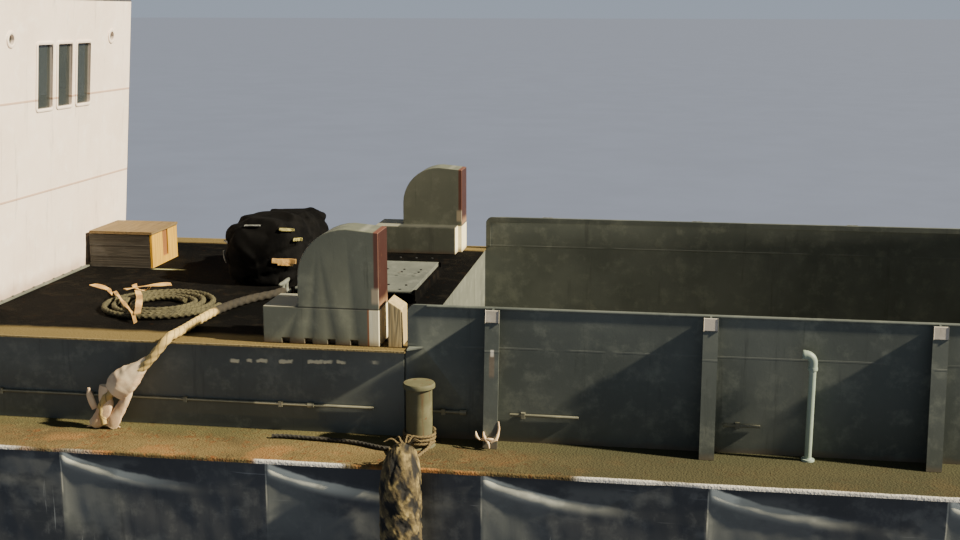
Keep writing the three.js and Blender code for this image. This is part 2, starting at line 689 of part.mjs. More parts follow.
// Bow ramp, drawn flat along its own length and leant forward about the hinge
function bowRamp() {
  const { start, length, thick, axisIn, half } = ramp;
  const local = (s, t) => {
    const u = t - axisIn;
    const x = hingeX + s * Math.sin(lean) + u * Math.cos(lean);
    return [x, ramp.hingeZ + s * Math.cos(lean) - u * Math.sin(lean)];
  };
  const slab = ([s0, s1], [t0, t1], ys) =>
    acrossY([local(s0, t0), local(s1, t0), local(s1, t1), local(s0, t1)], ys);
  let panel = slab([start, length], [0, thick], [-half, half]);

  // Openings right through near the top, and channels between the stiffeners of the outer face
  for (let i = 0; i < lattice.count; i += 1) {
    const y = lattice.first + i * lattice.pitch;
    const ys = [y, y + lattice.width];
    panel = cut(panel, ...latticeRows.map((row) => slab(row, [-5, thick + 5], ys)));
    panel = cut(panel, slab(lattice.channel, [40, thick + 5], ys));
  }

  // Hinge arms around the rod, between the hull's lugs
  const boreR = rampRod.r + rampRod.air;
  const bore = bar([hingeX, -half, ramp.hingeZ], [hingeX, half, ramp.hingeZ], boreR);
  const arm = [
    ...arc([0, 0], rampArm.r, 180, 360, 10).map(([t, s]) => local(s, t + axisIn)),
    local(start + 10, axisIn + rampArm.r),
    local(start + 10, axisIn - rampArm.r),
  ];
  for (const y of rampArm.at) {
    panel = fuse(panel, cut(acrossY(arm, [y, y + rampArm.width]), bore));
  }

  // Pad eyes for the hoisting wires
  for (const side of Object.values(sides)) {
    const y = side * rampEye.y;
    const pad = slab([rampEye.low, rampEye.high], [-rampEye.out, 10], [y - rampEye.half, y + rampEye.half]);
    const [x, z] = local((rampEye.low + rampEye.high) / 2, -18);
    panel = fuse(panel, cut(pad, bar([x, y - 20, z], [x, y + 20, z], rampEye.boreR, 12)));
  }
  add('ramp', panel, 'hull');
}

// Posts with a sheave at each side of the ramp
function bowPosts() {
  const foot = at('deck', 8080) + 6;
  const low = at('deck', 7700) + 2;
  for (const [name, side] of Object.entries(sides)) {
    const across = [bowPost.inner, bowPost.outer];
    const post = sideBox([bowPost.aft, bowPost.fore], across, [foot, bowPost.top], side);
    const outline = [
      [bowPost.aft + 5, bowPost.top - 160],
      [bowPost.aft + 5, foot - 80],
      [bowPost.braceAft + 60, low],
      [bowPost.braceAft, low],
    ];
    const brace = sideAcrossY(outline, [1685, 1705], side);
    const [inner, outer] = [side * sheave.inner, side * sheave.outer];
    const disc = bar([sheave.x, inner, sheave.z], [sheave.x, outer, sheave.z], sheave.r, 24);
    add(`bow_post_${name}`, cut(fuse(post, disc, brace), below(side, gap)), 'grey');
  }
}

// Winch guards with their bases, and the timber block against the starboard one
function winchGuards() {
  for (const [name, side] of Object.entries(sides)) {
    const z = engineDeckZ + gap;
    const arch = [
      [guard.fore, z],
      [guard.fore, guard.top - 18],
      ...arc([guard.aft + guard.round, guard.top - guard.round], guard.round, 90, 180, 10),
      [guard.aft, z],
    ];
    const hood = sideAcrossY(arch, [guard.inner, guard.outer], side);
    const across = [guardBase.inner, guard.outer];
    const base = sideBox([guardBase.aft, guardBase.fore], across, [z, guardBase.top], side);
    let whole = fuse(hood, base);
    for (let i = 0; i < drain.count; i += 1) {
      const x = guardBase.aft + drain.first + i * drain.pitch;
      const skin = [guard.outer - drain.deep, guard.outer + 5];
      whole = cut(whole, sideBox([x - drain.half, x + drain.half], skin, [z - 5, z + drain.high], side));
    }
    add(`winch_guard_${name}`, whole, 'grey');
  }
  const low = engineDeckZ + gap;
  const block = [
    [timber.aft, low],
    [timber.fore, low],
    [timber.fore, timber.foreTop],
    [timber.aft, timber.top],
  ];
  add('timber_block', sideAcrossY(block, [timber.inner, guard.outer], sides.starboard), 'timber');
}

// Bitts and vent pipes amidships, and the rope-bound fenders below the bitts
function sideGear() {
  for (const [name, side] of Object.entries(sides)) {
    const foot = level.deck + gap;
    add(`bitt_${name}`, bittSolid(bittAt.mid[0], side * bittAt.mid[1], foot), 'grey');

    const { x, y, r, high, bend, elbowR, mouth } = ventPipe;
    const top = level.deck + high - elbowR;
    const turn = [[x, top - bend - 30], ...arc([x - bend, top - bend], bend, 0, 90, 6), [x - bend - mouth, top]];
    const elbow = tube(turn.map(([along, z]) => [along, side * y, z]), elbowR, 14, 12);
    const pipe = bar([x, side * y, foot], [x, side * y, top - bend - 10], r, 16);
    const collar = bar([x, side * y, foot], [x, side * y, foot + plate], 38);
    add(`vent_pipe_${name}`, fuse(pipe, elbow, collar), 'grey');

    const { low: bottom, high: head, end } = fender;
    const profile = [
      [0, bottom],
      ...arc([fender.r - end, bottom + end], end, -90, 0, 4),
      ...arc([fender.r - end, head - end], end, 0, 90, 4),
      [0, head],
    ];
    const lathe = new THREE.LatheGeometry(profile.map(([u, v]) => new THREE.Vector2(u, v)), 20);
    lathe.rotateX(Math.PI / 2);
    lathe.translate(fender.x, side * fender.y, 0);
    add(`fender_${name}`, solid(lathe), 'rope');
  }
}

// Rope gear: cleat, hawser with its eye, the lanyard tail, and a flat coil
const hawserRoute = [
  [-4350, -368, 2121],
  [-4352, -410, 2121],
  [-4378, -484, 2121],
  [-4469, -626, 2121],
  [-4541, -792, 2121],
  [-4592, -1000, 2121],
  [-4612, -1200, 2121],
  [-4620, -1400, 2121],
  [-4622, -1560, 2123],
  [-4628, -1670, 2125],
  [-4636, -1745, 2123],
  [-4652, -1778, 2100],
  [-4690, -1798, 2052],
  [-4745, -1806, 1988],
  [-4815, -1806, 1920],
  [-4900, -1806, 1848],
];
const hawserR = 30;

// Served eye, a flat bag-like loop that leans on the trunk side down to the side deck, as [x, z]
const servedEye = { y: -1800, thick: 130 };
const eyeOutline = [
  [-4879.6, 1823.3],
  [-4905, 1735],
  [-4940, 1640],
  [-5000, 1542],
  [-5160, 1542],
  [-5185, 1640],
  [-5175, 1760],
  [-5050, 1835],
  [-4921, 1872.1],
];

// Loose tail of the fender lanyard, aft along the side deck
const tailRoute = [
  [-3238, -1930, 1554.5],
  [-3275, -1925, 1554.5],
  [-3330, -1905, 1554.5],
  [-3400, -1875, 1554.5],
  [-3480, -1850, 1554.5],
  [-3560, -1836, 1554.5],
  [-3650, -1828, 1554.5],
  [-3740, -1822, 1554.5],
  [-3830, -1815, 1554.5],
  [-3915, -1812, 1554.5],
  [-3985, -1820, 1554.5],
];
const tailR = 14;

function ropeGear() {
  const { x, y, half, high, bar: reach, barR } = cleat;
  const z = engineDeckZ + high + 16;
  const base = box([x - half, x + half], [y - half, y + half], [engineDeckZ + gap, z + 4]);
  add('cleat', fuse(base, bar([x, y - reach, z], [x, y + reach, z], barR, 12)), 'grey');

  add('hawser', tube(hawserRoute, hawserR, 8, 32), 'rope');
  const inner = servedEye.y - servedEye.thick / 2;
  add('hawser_eye', acrossY(eyeOutline, [inner, inner + servedEye.thick]), 'rope');

  add('deck_rope', tube(tailRoute, tailR, 8, 30), 'rope');

  const section = [
    [coil.inner, 0],
    [coil.outer, 0],
    [coil.outer, coil.high],
    [coil.inner, coil.high],
    [coil.inner, 0],
  ];
  const lathe = new THREE.LatheGeometry(section.map(([u, v]) => new THREE.Vector2(u, v)), 32);
  lathe.rotateX(Math.PI / 2);
  lathe.translate(coil.x, coil.y, engineDeckZ + gap);
  add('rope_coil', solid(lathe), 'rope');
}

// Folded canvas cover stowed on the engine deck, a rounded heap carried across the deck
function canvasBundle() {
  const { aft, fore, low, high, top, square } = bundle;
  const middle = (aft + fore) / 2;
  const half = (fore - aft) / 2;
  const z = engineDeckZ + gap;
  const slices = [
    { y: low, width: 0.82, height: 0.62 },
    { y: low + 60, width: 0.94, height: 0.86 },
    { y: low + 180, width: 1, height: 0.97 },
    { y: low + 450, width: 1, height: 1 },
    { y: high - 300, width: 0.98, height: 0.95 },
    { y: high - 80, width: 0.92, height: 0.75 },
    { y: high, width: 0.7, height: 0.45 },
  ];
  const rings = slices.map(({ y, width, height }) => {
    const over = arc([0, 0], 1, 12, 168, 10).map(([u, v]) => [
      middle + Math.sign(u) * Math.abs(u) ** square * half * width,
      y,
      z + v ** square * top * height,
    ]);
    return [[middle + half * width, y, z], ...over, [middle - half * width, y, z]];
  });
  add('canvas_bundle', solid(loftAcross(rings)), 'dark');
}

// Locker in front of the pilothouse
function deckLocker() {
  const { aft, fore, low, high, top, wall } = locker;
  const shell = cut(
    box([aft, fore], [low, high], [engineDeckZ + gap, top]),
    box([aft + wall, fore - wall], [low + wall, high - wall], [engineDeckZ + wall, top + 10]),
  );
  add('locker', shell, 'timber');
  const lidZ = [top + 5, top + 5 + wall];
  add('locker_lid', box([aft + 6, fore + 6], [low - 8, high + 8], lidZ), 'timber');
}

// Pilothouse: walls with window openings and a front that leans forward, roof, and what stands in it
function pilothouse() {
  const { aft, fore, foreTop, half, top, wall, roof, eave } = house;
  const low = engineDeckZ + gap;
  const lean = (z) => fore + ((foreTop - fore) * (z - low)) / (top - low);
  const outline = (inset, from, to) => [
    [aft + inset, from],
    [lean(from) - inset, from],
    [lean(to) - inset, to],
    [aft + inset, to],
  ];
  let walls = cut(
    acrossY(outline(0, low, top), [-half, half]),
    acrossY(outline(wall, low - 50, top + 50), [-half + wall, half - wall]),
  );
  const heights = [pane.low, pane.high];
  const front = [fore - 100, foreTop + 100];
  for (const y of forePanes) {
    walls = cut(walls, box(front, [y - pane.foreHalf, y + pane.foreHalf], heights));
  }
  for (const y of [-port.y, port.y]) {
    walls = cut(walls, bar([front[0], y, port.z], [front[1], y, port.z], port.r, 20));
  }
  for (const x of sidePanes) {
    walls = cut(walls, box([x - pane.sideHalf, x + pane.sideHalf], [-half - 100, half + 100], heights));
  }
  walls = cut(walls, box([aft - 100, aft + 100], [-door.half, door.half], [door.low, door.high]));
  add('pilothouse', walls, 'pale');

  const cover = box([aft - eave, foreTop + eave], [-half - eave, half + eave], [top + gap, top + roof]);
  add('pilothouse_roof', cover, 'grey');

  add('console', box([desk.aft, fore - wall - gap], [-desk.half, desk.half], [low + gap, desk.top]), 'grey');
  const { x, z, r, rim } = wheel;
  const ring = new THREE.TorusGeometry(r, rim, 6, 24);
  ring.rotateY(Math.PI / 2);
  ring.translate(x, 0, z);
  let helm = fuse(solid(ring), bar([x - 20, 0, z], [desk.aft - gap, 0, z], 45));
  for (const turn of [0, 60, 120].map(THREE.MathUtils.degToRad)) {
    const [dy, dz] = [r * Math.cos(turn), r * Math.sin(turn)];
    helm = fuse(helm, bar([x, -dy, z - dz], [x, dy, z + dz], 12, 10));
  }
  add('steering_wheel', helm, 'dark');
}

// Door in the aft wall, with its knuckles, window and grip
function pilothouseDoor() {
  const outer = house.aft - door.air;
  const inner = outer - door.thick;
  const half = door.half + door.lap;
  const knuckleY = half + 10;
  let leaf = box([inner, outer], [-half, half], [door.low - 15, door.high + door.lap]);
  const across = [-doorPane.half, doorPane.half];
  leaf = cut(leaf, box([inner - 10, outer + 5], across, [doorPane.low, doorPane.high]));
  for (const z of doorHinges) {
    leaf = fuse(leaf, bar([inner, knuckleY, z - 60], [inner, knuckleY, z + 60], 16, 12));
  }
  const { y, low, high, off } = doorGrip;
  leaf = fuse(leaf, bar([inner - off, y, low], [inner - off, y, high], 12, 10));
  for (const z of [low + 10, high - 10]) {
    leaf = fuse(leaf, bar([inner - off, y, z], [inner + 5, y, z], 10, 10));
  }
  add('pilothouse_door', leaf, 'grey');
}

// Mast with its yard and lamp, and the searchlight, both on the pilothouse roof
function roofGear() {
  const foot = house.top + house.roof + gap;
  const { x, r, top, yardZ, yardHalf, lampTop } = mast;
  const whole = fuse(
    bar([x, 0, foot], [x, 0, top], r),
    bar([x, 0, foot], [x, 0, foot + 14], 90, 20),
    bar([x, -yardHalf, yardZ], [x, yardHalf, yardZ], 20, 12),
    bar([x, 0, top - 5], [x, 0, lampTop - 20], 60),
    bar([x, 0, lampTop - 25], [x, 0, lampTop], 75),
  );
  add('mast', whole, 'grey');
  const { aft, fore, rise, r: lampR } = searchlight;
  const lamp = fuse(
    bar([searchlight.x, 0, foot], [searchlight.x, 0, foot + 12], 80, 20),
    bar([searchlight.x, 0, foot], [searchlight.x, 0, foot + rise - 100], 22, 12),
    bar([aft, 0, foot + rise], [fore, 0, foot + rise], lampR, 24),
  );
  add('searchlight', lamp, 'grey');
}

hullBlocks();
decks();
coamings();
engineTrunk();
engineDeck();
runningGear();
bowRamp();
bowPosts();
winchGuards();
sideGear();
ropeGear();
canvasBundle();
deckLocker();
pilothouse();
pilothouseDoor();
roofGear();

export default craft;
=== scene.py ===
import json
import math
import bmesh
import bpy
import numpy as np
from mathutils import Matrix, Vector

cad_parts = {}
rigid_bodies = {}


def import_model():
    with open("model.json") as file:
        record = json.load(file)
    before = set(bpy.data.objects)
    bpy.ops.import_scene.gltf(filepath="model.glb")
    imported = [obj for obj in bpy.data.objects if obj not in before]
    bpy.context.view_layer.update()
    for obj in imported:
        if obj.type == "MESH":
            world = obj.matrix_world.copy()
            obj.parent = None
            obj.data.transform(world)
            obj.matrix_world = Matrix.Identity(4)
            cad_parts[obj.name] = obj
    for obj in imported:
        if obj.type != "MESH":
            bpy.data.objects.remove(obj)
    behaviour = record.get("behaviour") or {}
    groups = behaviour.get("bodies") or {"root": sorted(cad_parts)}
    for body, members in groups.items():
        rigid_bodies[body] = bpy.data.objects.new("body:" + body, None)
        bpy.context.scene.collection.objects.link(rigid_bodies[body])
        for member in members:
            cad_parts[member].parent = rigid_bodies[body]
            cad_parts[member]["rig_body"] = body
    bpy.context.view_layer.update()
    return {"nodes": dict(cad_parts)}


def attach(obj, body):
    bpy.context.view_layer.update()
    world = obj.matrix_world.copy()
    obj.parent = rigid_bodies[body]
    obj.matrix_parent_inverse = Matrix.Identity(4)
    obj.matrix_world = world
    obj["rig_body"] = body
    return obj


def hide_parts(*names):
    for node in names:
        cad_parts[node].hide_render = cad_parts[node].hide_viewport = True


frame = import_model()
nodes = frame["nodes"]
print("frame loaded,", len(nodes), "solids")

# Metres. +X is the bow, +Y is port, +Z is up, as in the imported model
sides = {"starboard": -1, "port": 1}
sideDeckZ = 1.54
engineDeckZ = 2.09
wellHalf = 1.66
waterline = 0.68

# Frames of the hull, which also set the stays of the coaming
framePitch = 1.2545
firstFrame = -2.66
bittSpot = (-3.083, 1.8)

# The crease in each bay of plating: its start under the deck edge, and how far and how fast it falls
ridgeLine = {"start": 0.012, "fall": 0.20, "rate": 2.2}

# The lines of the hull from stern to bow: half breadth, bottom, bilge radius, side deck, well, floor, rail
hullLines = {
    "x": [-8.55, -8.44, -8.24, -7.8, -7.3, -6.0, -4.6, 4.2, 4.9, 5.6, 6.3, 7.0, 8.6],
    "beam": [1.9, 2.04, 2.13, 2.18, 2.18, 2.18, 2.18, 2.18, 2.165, 2.125, 2.065, 1.985, 1.8],
    "bottom": [0.62, 0.605, 0.58, 0.51, 0.43, 0.2, 0, 0, 0, 0.055, 0.2, 0.44, 1.08],
    "bilge": [0.15, 0.16, 0.18, 0.22, 0.24, 0.26, 0.26, 0.26, 0.26, 0.25, 0.23, 0.2, 0.15],
    "deck": [1.54] * 8 + [1.572, 1.655, 1.785, 1.955, 2.36],
    "well": [1.66] * 8 + [1.645, 1.622, 1.596, 1.568, 1.504],
    "floor": [0.76] * 10 + [0.775, 0.81, 0.89],
    "rail": [2.36] * 8 + [2.385, 2.45, 2.555, 2.7, 3.05],
}
bowFace = {"lean": math.radians(19.6), "hingeX": 7.71524, "hingeZ": 0.8, "back": 0.0658}


def line(column, x):
    return np.interp(x, hullLines["x"], hullLines[column])


def bowFaceX(z):
    return bowFace["hingeX"] + (z - bowFace["hingeZ"]) * math.tan(bowFace["lean"]) - bowFace["back"]


# Camera at the photograph's place
viewpoint = {"at": (-1.703, -8.688, 4.039), "yaw": 8.4124, "pitch": 11.5864, "roll": 0.115, "lens": 46.555}


def makeCamera(s):
    yaw, pitch, roll = (math.radians(s[key]) for key in ("yaw", "pitch", "roll"))
    level = math.cos(pitch)
    forward = Vector((-math.sin(yaw) * level, math.cos(yaw) * level, -math.sin(pitch)))
    right = Vector((math.cos(yaw), math.sin(yaw), 0))
    up = right.cross(forward)
    across = right * math.cos(roll) + up * math.sin(roll)
    upright = up * math.cos(roll) - right * math.sin(roll)
    data = bpy.data.cameras.new("photoCamera")
    data.lens = s["lens"]
    data.sensor_width = 36
    data.clip_end = 4000
    camera = bpy.data.objects.new("photoCamera", data)
    turn = Matrix((across, upright, -forward)).transposed().to_4x4()
    camera.matrix_world = Matrix.Translation(s["at"]) @ turn
    bpy.context.scene.collection.objects.link(camera)
    bpy.context.scene.camera = camera


makeCamera(viewpoint)


# Shader maths: a Value wraps a socket, so that sums on it add their own nodes
class Value:
    def __init__(self, paint, socket):
        self.paint = paint
        self.socket = socket

    def __add__(self, other):
        return self.paint.maths("ADD", self, other)

    def __radd__(self, other):
        return self.paint.maths("ADD", other, self)

    def __sub__(self, other):
        return self.paint.maths("SUBTRACT", self, other)

    def __rsub__(self, other):
        return self.paint.maths("SUBTRACT", other, self)

    def __mul__(self, other):
        return self.paint.maths("MULTIPLY", self, other)

    def __rmul__(self, other):
        return self.paint.maths("MULTIPLY", other, self)

    def __truediv__(self, other):
        return self.paint.maths("DIVIDE", self, other)

    def __abs__(self):
        return self.paint.maths("ABSOLUTE", self)


class Paint:
    def __init__(self, name):
        self.material = bpy.data.materials.new(name)
        self.material.use_nodes = True
        self.tree = self.material.node_tree
        self.tree.nodes.clear()
        self.place = self.node("ShaderNodeTexCoord", {}, {}, "Object")
        self.x, self.y, self.z = self.split(self.place)

    # One node: its settings first, then the values or links of its sockets
    def node(self, kind, settings, inputs, out=0):
        made = self.tree.nodes.new(kind)
        for key, value in settings.items():
            setattr(made, key, value)
        for key, value in inputs.items():
            if isinstance(value, Value):
                self.tree.links.new(value.socket, made.inputs[key])
            else:
                made.inputs[key].default_value = value
        return Value(self, made.outputs[out])

    def maths(self, operation, *terms):
        return self.node("ShaderNodeMath", {"operation": operation}, dict(enumerate(terms)))

    def split(self, vector):
        made = self.node("ShaderNodeSeparateXYZ", {}, {0: vector})
        return [Value(self, out) for out in made.socket.node.outputs]

    def stretched(self, stretch):
        return self.node("ShaderNodeVectorMath", {"operation": "MULTIPLY"}, {0: self.place, 1: stretch})

    # Noise around 0.5, over object coordinates stretched by three factors, in features per metre
    def noise(self, scale, detail=4, rough=0.55, stretch=(1, 1, 1), shift=0):
        place = self.stretched(stretch)
        if shift:
            move = (shift, shift * 1.7, shift * 0.6)
            place = self.node("ShaderNodeVectorMath", {"operation": "ADD"}, {0: place, 1: move})
        sockets = {"Vector": place, "Scale": scale, "Detail": detail, "Roughness": rough}
        return self.node("ShaderNodeTexNoise", {}, sockets, "Fac")

    def cells(self, scale):
        return self.node("ShaderNodeTexVoronoi", {}, {"Vector": self.place, "Scale": scale}, "Distance")

    # A smooth step from 0 to 1 between two values, or down if they are given high to low
    def step(self, value, low, high):
        ends = {"From Min": low, "From Max": high, "To Min": 0, "To Max": 1}
        if isinstance(low, Value) or low > high:
            ends = {"From Min": high, "From Max": low, "To Min": 1, "To Max": 0}
        return self.node("ShaderNodeMapRange", {"interpolation_type": "SMOOTHSTEP"}, {"Value": value, **ends})

    # 1 within a band of a value, with soft edges
    def band(self, value, middle, half, soft):
        return self.step(abs(value - middle), half + soft, half)

    def mix(self, share, first, second):
        made = {0: share, 6: self.colour(first), 7: self.colour(second)}
        return self.node("ShaderNodeMix", {"data_type": "RGBA"}, made, 2)

    def colour(self, value):
        return value if isinstance(value, Value) else (*value, 1)

    def bump(self, height, distance, strength=1):
        return self.node("ShaderNodeBump", {}, {"Height": height, "Distance": distance, "Strength": strength})

    def finish(self, colour, roughness, metallic=0, normal=None, **more):
        sockets = {"Base Color": self.colour(colour), "Roughness": roughness, "Metallic": metallic}
        sockets.update({key.replace("_", " "): value for key, value in more.items()})
        if normal:
            sockets["Normal"] = normal
        shader = self.node("ShaderNodeBsdfPrincipled", {}, sockets)
        output = self.tree.nodes.new("ShaderNodeOutputMaterial")
        self.tree.links.new(shader.socket, output.inputs["Surface"])
        return self.material


# Floor at the waterline, a low warm sun from ahead and a pale sky all round
stage = {"floorHalf": 1500, "floor": (0.126, 0.154, 0.242), "sky": (0.56, 0.66, 0.80), "skyStrength": 0.25,
         "haze": (1.35, 1.55, 1.86)}
sun = {"from": (1.0, -0.09, 0.70), "strength": 12.0, "angle": 2, "colour": (1.0, 0.89, 0.66)}


def makeStage():
    paint = Paint("stageFloor")
    ripple = paint.noise(0.7, 3)
    shade = paint.mix(paint.step(ripple, 0.3, 0.7), tuple(c * 0.94 for c in stage["floor"]), stage["floor"])
    half = stage["floorHalf"]
    corners = [(-half, -half, waterline), (half, -half, waterline), (half, half, waterline),
               (-half, half, waterline)]
    mesh = bpy.data.meshes.new("stageFloor")
    mesh.from_pydata(corners, [], [(0, 1, 2, 3)])
    mesh.materials.append(paint.finish(shade, 0.75))
    floor = bpy.data.objects.new("stageFloor", mesh)
    bpy.context.scene.collection.objects.link(floor)
    world = bpy.data.worlds.new("paleSky")
    world.use_nodes = True
    background = world.node_tree.nodes["Background"]
    links, make = world.node_tree.links, world.node_tree.nodes.new
    kinds = ("TexCoord", "SeparateXYZ", "MapRange", "Mix")
    place, split, low, tone = (make("ShaderNode" + kind) for kind in kinds)
    tone.data_type = "RGBA"
    low.inputs["From Min"].default_value = 0.03  # haze up to about two degrees above the horizon
    low.inputs["From Max"].default_value = 0.05
    tone.inputs[6].default_value = (*stage["haze"], 1)
    tone.inputs[7].default_value = (*stage["sky"], 1)
    links.new(place.outputs["Generated"], split.inputs[0])
    links.new(split.outputs[2], low.inputs["Value"])
    links.new(low.outputs[0], tone.inputs[0])
    links.new(tone.outputs[2], background.inputs["Color"])
    background.inputs["Strength"].default_value = stage["skyStrength"]
    bpy.context.scene.world = world
    data = bpy.data.lights.new("sun", "SUN")
    data.energy = sun["strength"]
    data.angle = math.radians(sun["angle"])
    data.color = sun["colour"]
    light = bpy.data.objects.new("sun", data)
    light.rotation_euler = Vector(sun["from"]).to_track_quat("Z", "Y").to_euler()
    bpy.context.scene.collection.objects.link(light)


makeStage()
print("camera, floor and light")


# Mesh making. A shell is a closed skin: its points, its faces, and the UV of each face corner or None
def gridFaces(rows, columns, wrap):
    i, j = np.meshgrid(np.arange(rows - 1), np.arange(columns if wrap else columns - 1), indexing="ij")
    k = (j + 1) % columns
    quads = [i * columns + j, (i + 1) * columns + j, (i + 1) * columns + k, i * columns + k]
    return np.stack(quads, -1).reshape(-1, 4)


# Six times the volume inside a shell: the sum of its fan triangles' triple products
def signedVolume(points, faces):
    fans = [(f[0], f[k], f[k + 1]) for f in faces if len(f) != 4 for k in range(1, len(f) - 1)]
    quads = np.array([f for f in faces if len(f) == 4], int).reshape(-1, 4)
    triangles = np.concatenate([quads[:, [0, 1, 2]], quads[:, [0, 2, 3]], np.array(fans, int).reshape(-1, 3)])
    a, b, c = (points[triangles[:, k]] for k in range(3))
    return np.einsum("ij,ij->i", a, np.cross(b, c)).sum()


def outward(points, faces, corners=None):
    if signedVolume(points, faces) < 0:
        faces = [f[::-1] for f in faces]
        corners = corners and [c[::-1] for c in corners]
    return points, faces, corners


# A skin of rings, closed round each ring and capped at both ends; corner UVs run along and round it,
# or carry a value of each point twice, such as how deep it lies
def ringShell(grid, along=None, value=None):
    rows, columns = grid.shape[:2]
    faces = gridFaces(rows, columns, True).tolist()
    faces += [list(range(columns))[::-1], list(range((rows - 1) * columns, rows * columns))]
    corners = None
    if value is not None:
        flat = np.stack([value, value], -1).reshape(-1, 2)
        corners = [flat[f].tolist() for f in faces]
    elif along is not None:
        i, j = np.meshgrid(np.arange(rows - 1), np.arange(columns), indexing="ij")
        u = np.stack([along[i], along[i + 1], along[i + 1], along[i]], -1)
        v = np.stack([j, j, j + 1, j + 1], -1) / columns
        corners = np.stack([u, v], -1).reshape(-1, 4, 2).tolist()
        corners += [[[along[0], k / columns] for k in range(columns)][::-1]]
        corners += [[[along[-1], k / columns] for k in range(columns)]]
    return outward(grid.reshape(-1, 3), faces, corners)


# A profile carried round a closed path: closed both ways, so it has no caps
def hoopShell(grid):
    rows, columns = grid.shape[:2]
    i, j = np.meshgrid(np.arange(rows), np.arange(columns), indexing="ij")
    a, b = (i + 1) % rows, (j + 1) % columns
    faces = np.stack([i * columns + j, a * columns + j, a * columns + b, i * columns + b], -1).reshape(-1, 4)
    return outward(grid.reshape(-1, 3), faces.tolist())


# Two like grids, one above the other, joined along all four edges
def slabShell(outer, inner):
    rows, columns = outer.shape[:2]
    size = rows * columns
    sheet = gridFaces(rows, columns, False)
    number = np.arange(size).reshape(rows, columns)
    rim = np.concatenate([number[0, :-1], number[:-1, -1], number[-1, :0:-1], number[:0:-1, 0]])
    after = np.roll(rim, -1)
    wall = np.stack([rim, after, after + size, rim + size], -1)
    faces = np.concatenate([sheet, sheet[:, ::-1] + size, wall[:, ::-1]]).tolist()
    return outward(np.concatenate([outer.reshape(-1, 3), inner.reshape(-1, 3)]), faces)


# A flat outline of [a, b] points carried along an axis from low to high
def prism(outline, axis, low, high):
    flat = np.array(outline, float)
    order = {"x": (1, 2, 0), "y": (0, 2, 1), "z": (0, 1, 2)}[axis]
    rings = np.zeros((2, len(flat), 3))
    rings[:, :, order[0]] = flat[:, 0]
    rings[:, :, order[1]] = flat[:, 1]
    rings[0, :, order[2]] = low
    rings[1, :, order[2]] = high
    return ringShell(rings)


def block(xs, ys, zs):
    (x0, x1), (y0, y1) = sorted(xs), sorted(ys)
    return prism([(x0, y0), (x1, y0), (x1, y1), (x0, y1)], "z", *sorted(zs))


# A profile of (radius, height) points turned about an axis through a centre
def lathe(profile, centre, axis="z", sides=28):
    profile = np.array(profile, float)
    angle = np.linspace(0, 2 * np.pi, sides, endpoint=False)
    r, h = profile[:, :1], profile[:, 1:]
    parts = [r * np.cos(angle), r * np.sin(angle), h + 0 * angle]
    order = {"x": (1, 2, 0), "y": (2, 0, 1), "z": (0, 1, 2)}[axis]
    grid = np.zeros((len(profile), sides, 3))
    for part, target in zip(parts, order):
        grid[:, :, target] = part
    return ringShell(grid + np.array(centre, float))


# Frames along a path: two directions across it, carried on without twist
def framesAlong(path):
    tangent = np.gradient(path, axis=0)
    tangent /= np.linalg.norm(tangent, axis=1)[:, None]
    first = np.cross(tangent[0], (0.31, 0.17, 0.93))
    across = [first / np.linalg.norm(first)]
    for t in tangent[1:]:
        n = across[-1] - t * (across[-1] @ t)
        across.append(n / np.linalg.norm(n))
    across = np.array(across)
    return across, np.cross(tangent, across)


def lengthsAlong(path):
    return np.concatenate([[0], np.cumsum(np.linalg.norm(np.diff(path, axis=0), axis=1))])


def spaced(path, step):
    s = lengthsAlong(path)
    t = np.linspace(0, s[-1], max(2, int(round(s[-1] / step)) + 1))
    return np.stack([np.interp(t, s, path[:, k]) for k in range(3)], -1)


# Points round a rectangle with rounded corners, and the way out from its middle at each
def roundedLoop(halfA, halfB, corner, steps=5):
    turn = np.concatenate([np.linspace(q, q + 1, steps) for q in range(4)]) * np.pi / 2
    out = np.stack([np.cos(turn), np.sin(turn)], -1)
    middle = np.repeat([(1, 1), (-1, 1), (-1, -1), (1, -1)], steps, axis=0) * (halfA - corner, halfB - corner)
    return middle + corner * out, out


# A raised frame round an opening; place turns (along, up, out) into x, y, z
def frameHoop(halfA, halfB, corner, width, proud, place):
    loop, out = roundedLoop(halfA, halfB, corner, 5 if corner < halfA else 9)
    profile = np.array([(0, -0.004), (0, proud * 0.7), (width * 0.25, proud), (width * 0.75, proud),
                        (width, proud * 0.7), (width, -0.004)])
    grid = loop[:, None] + out[:, None] * profile[None, :, :1]
    return hoopShell(place(grid[..., 0], grid[..., 1], profile[None, :, 1] + 0 * grid[..., 0]))


# Rows of small domed bolt heads: an axis along which each stands, and which way it looks
def boltHeads(spots, axis="z", way=1, radius=0.011, high=0.008):
    profile = [(radius, -0.002), (radius, high * 0.55), (radius * 0.7, high * 0.9), (radius * 0.2, high)]
    return [lathe([(r, way * h) for r, h in profile], spot, axis, 8) for spot in spots]


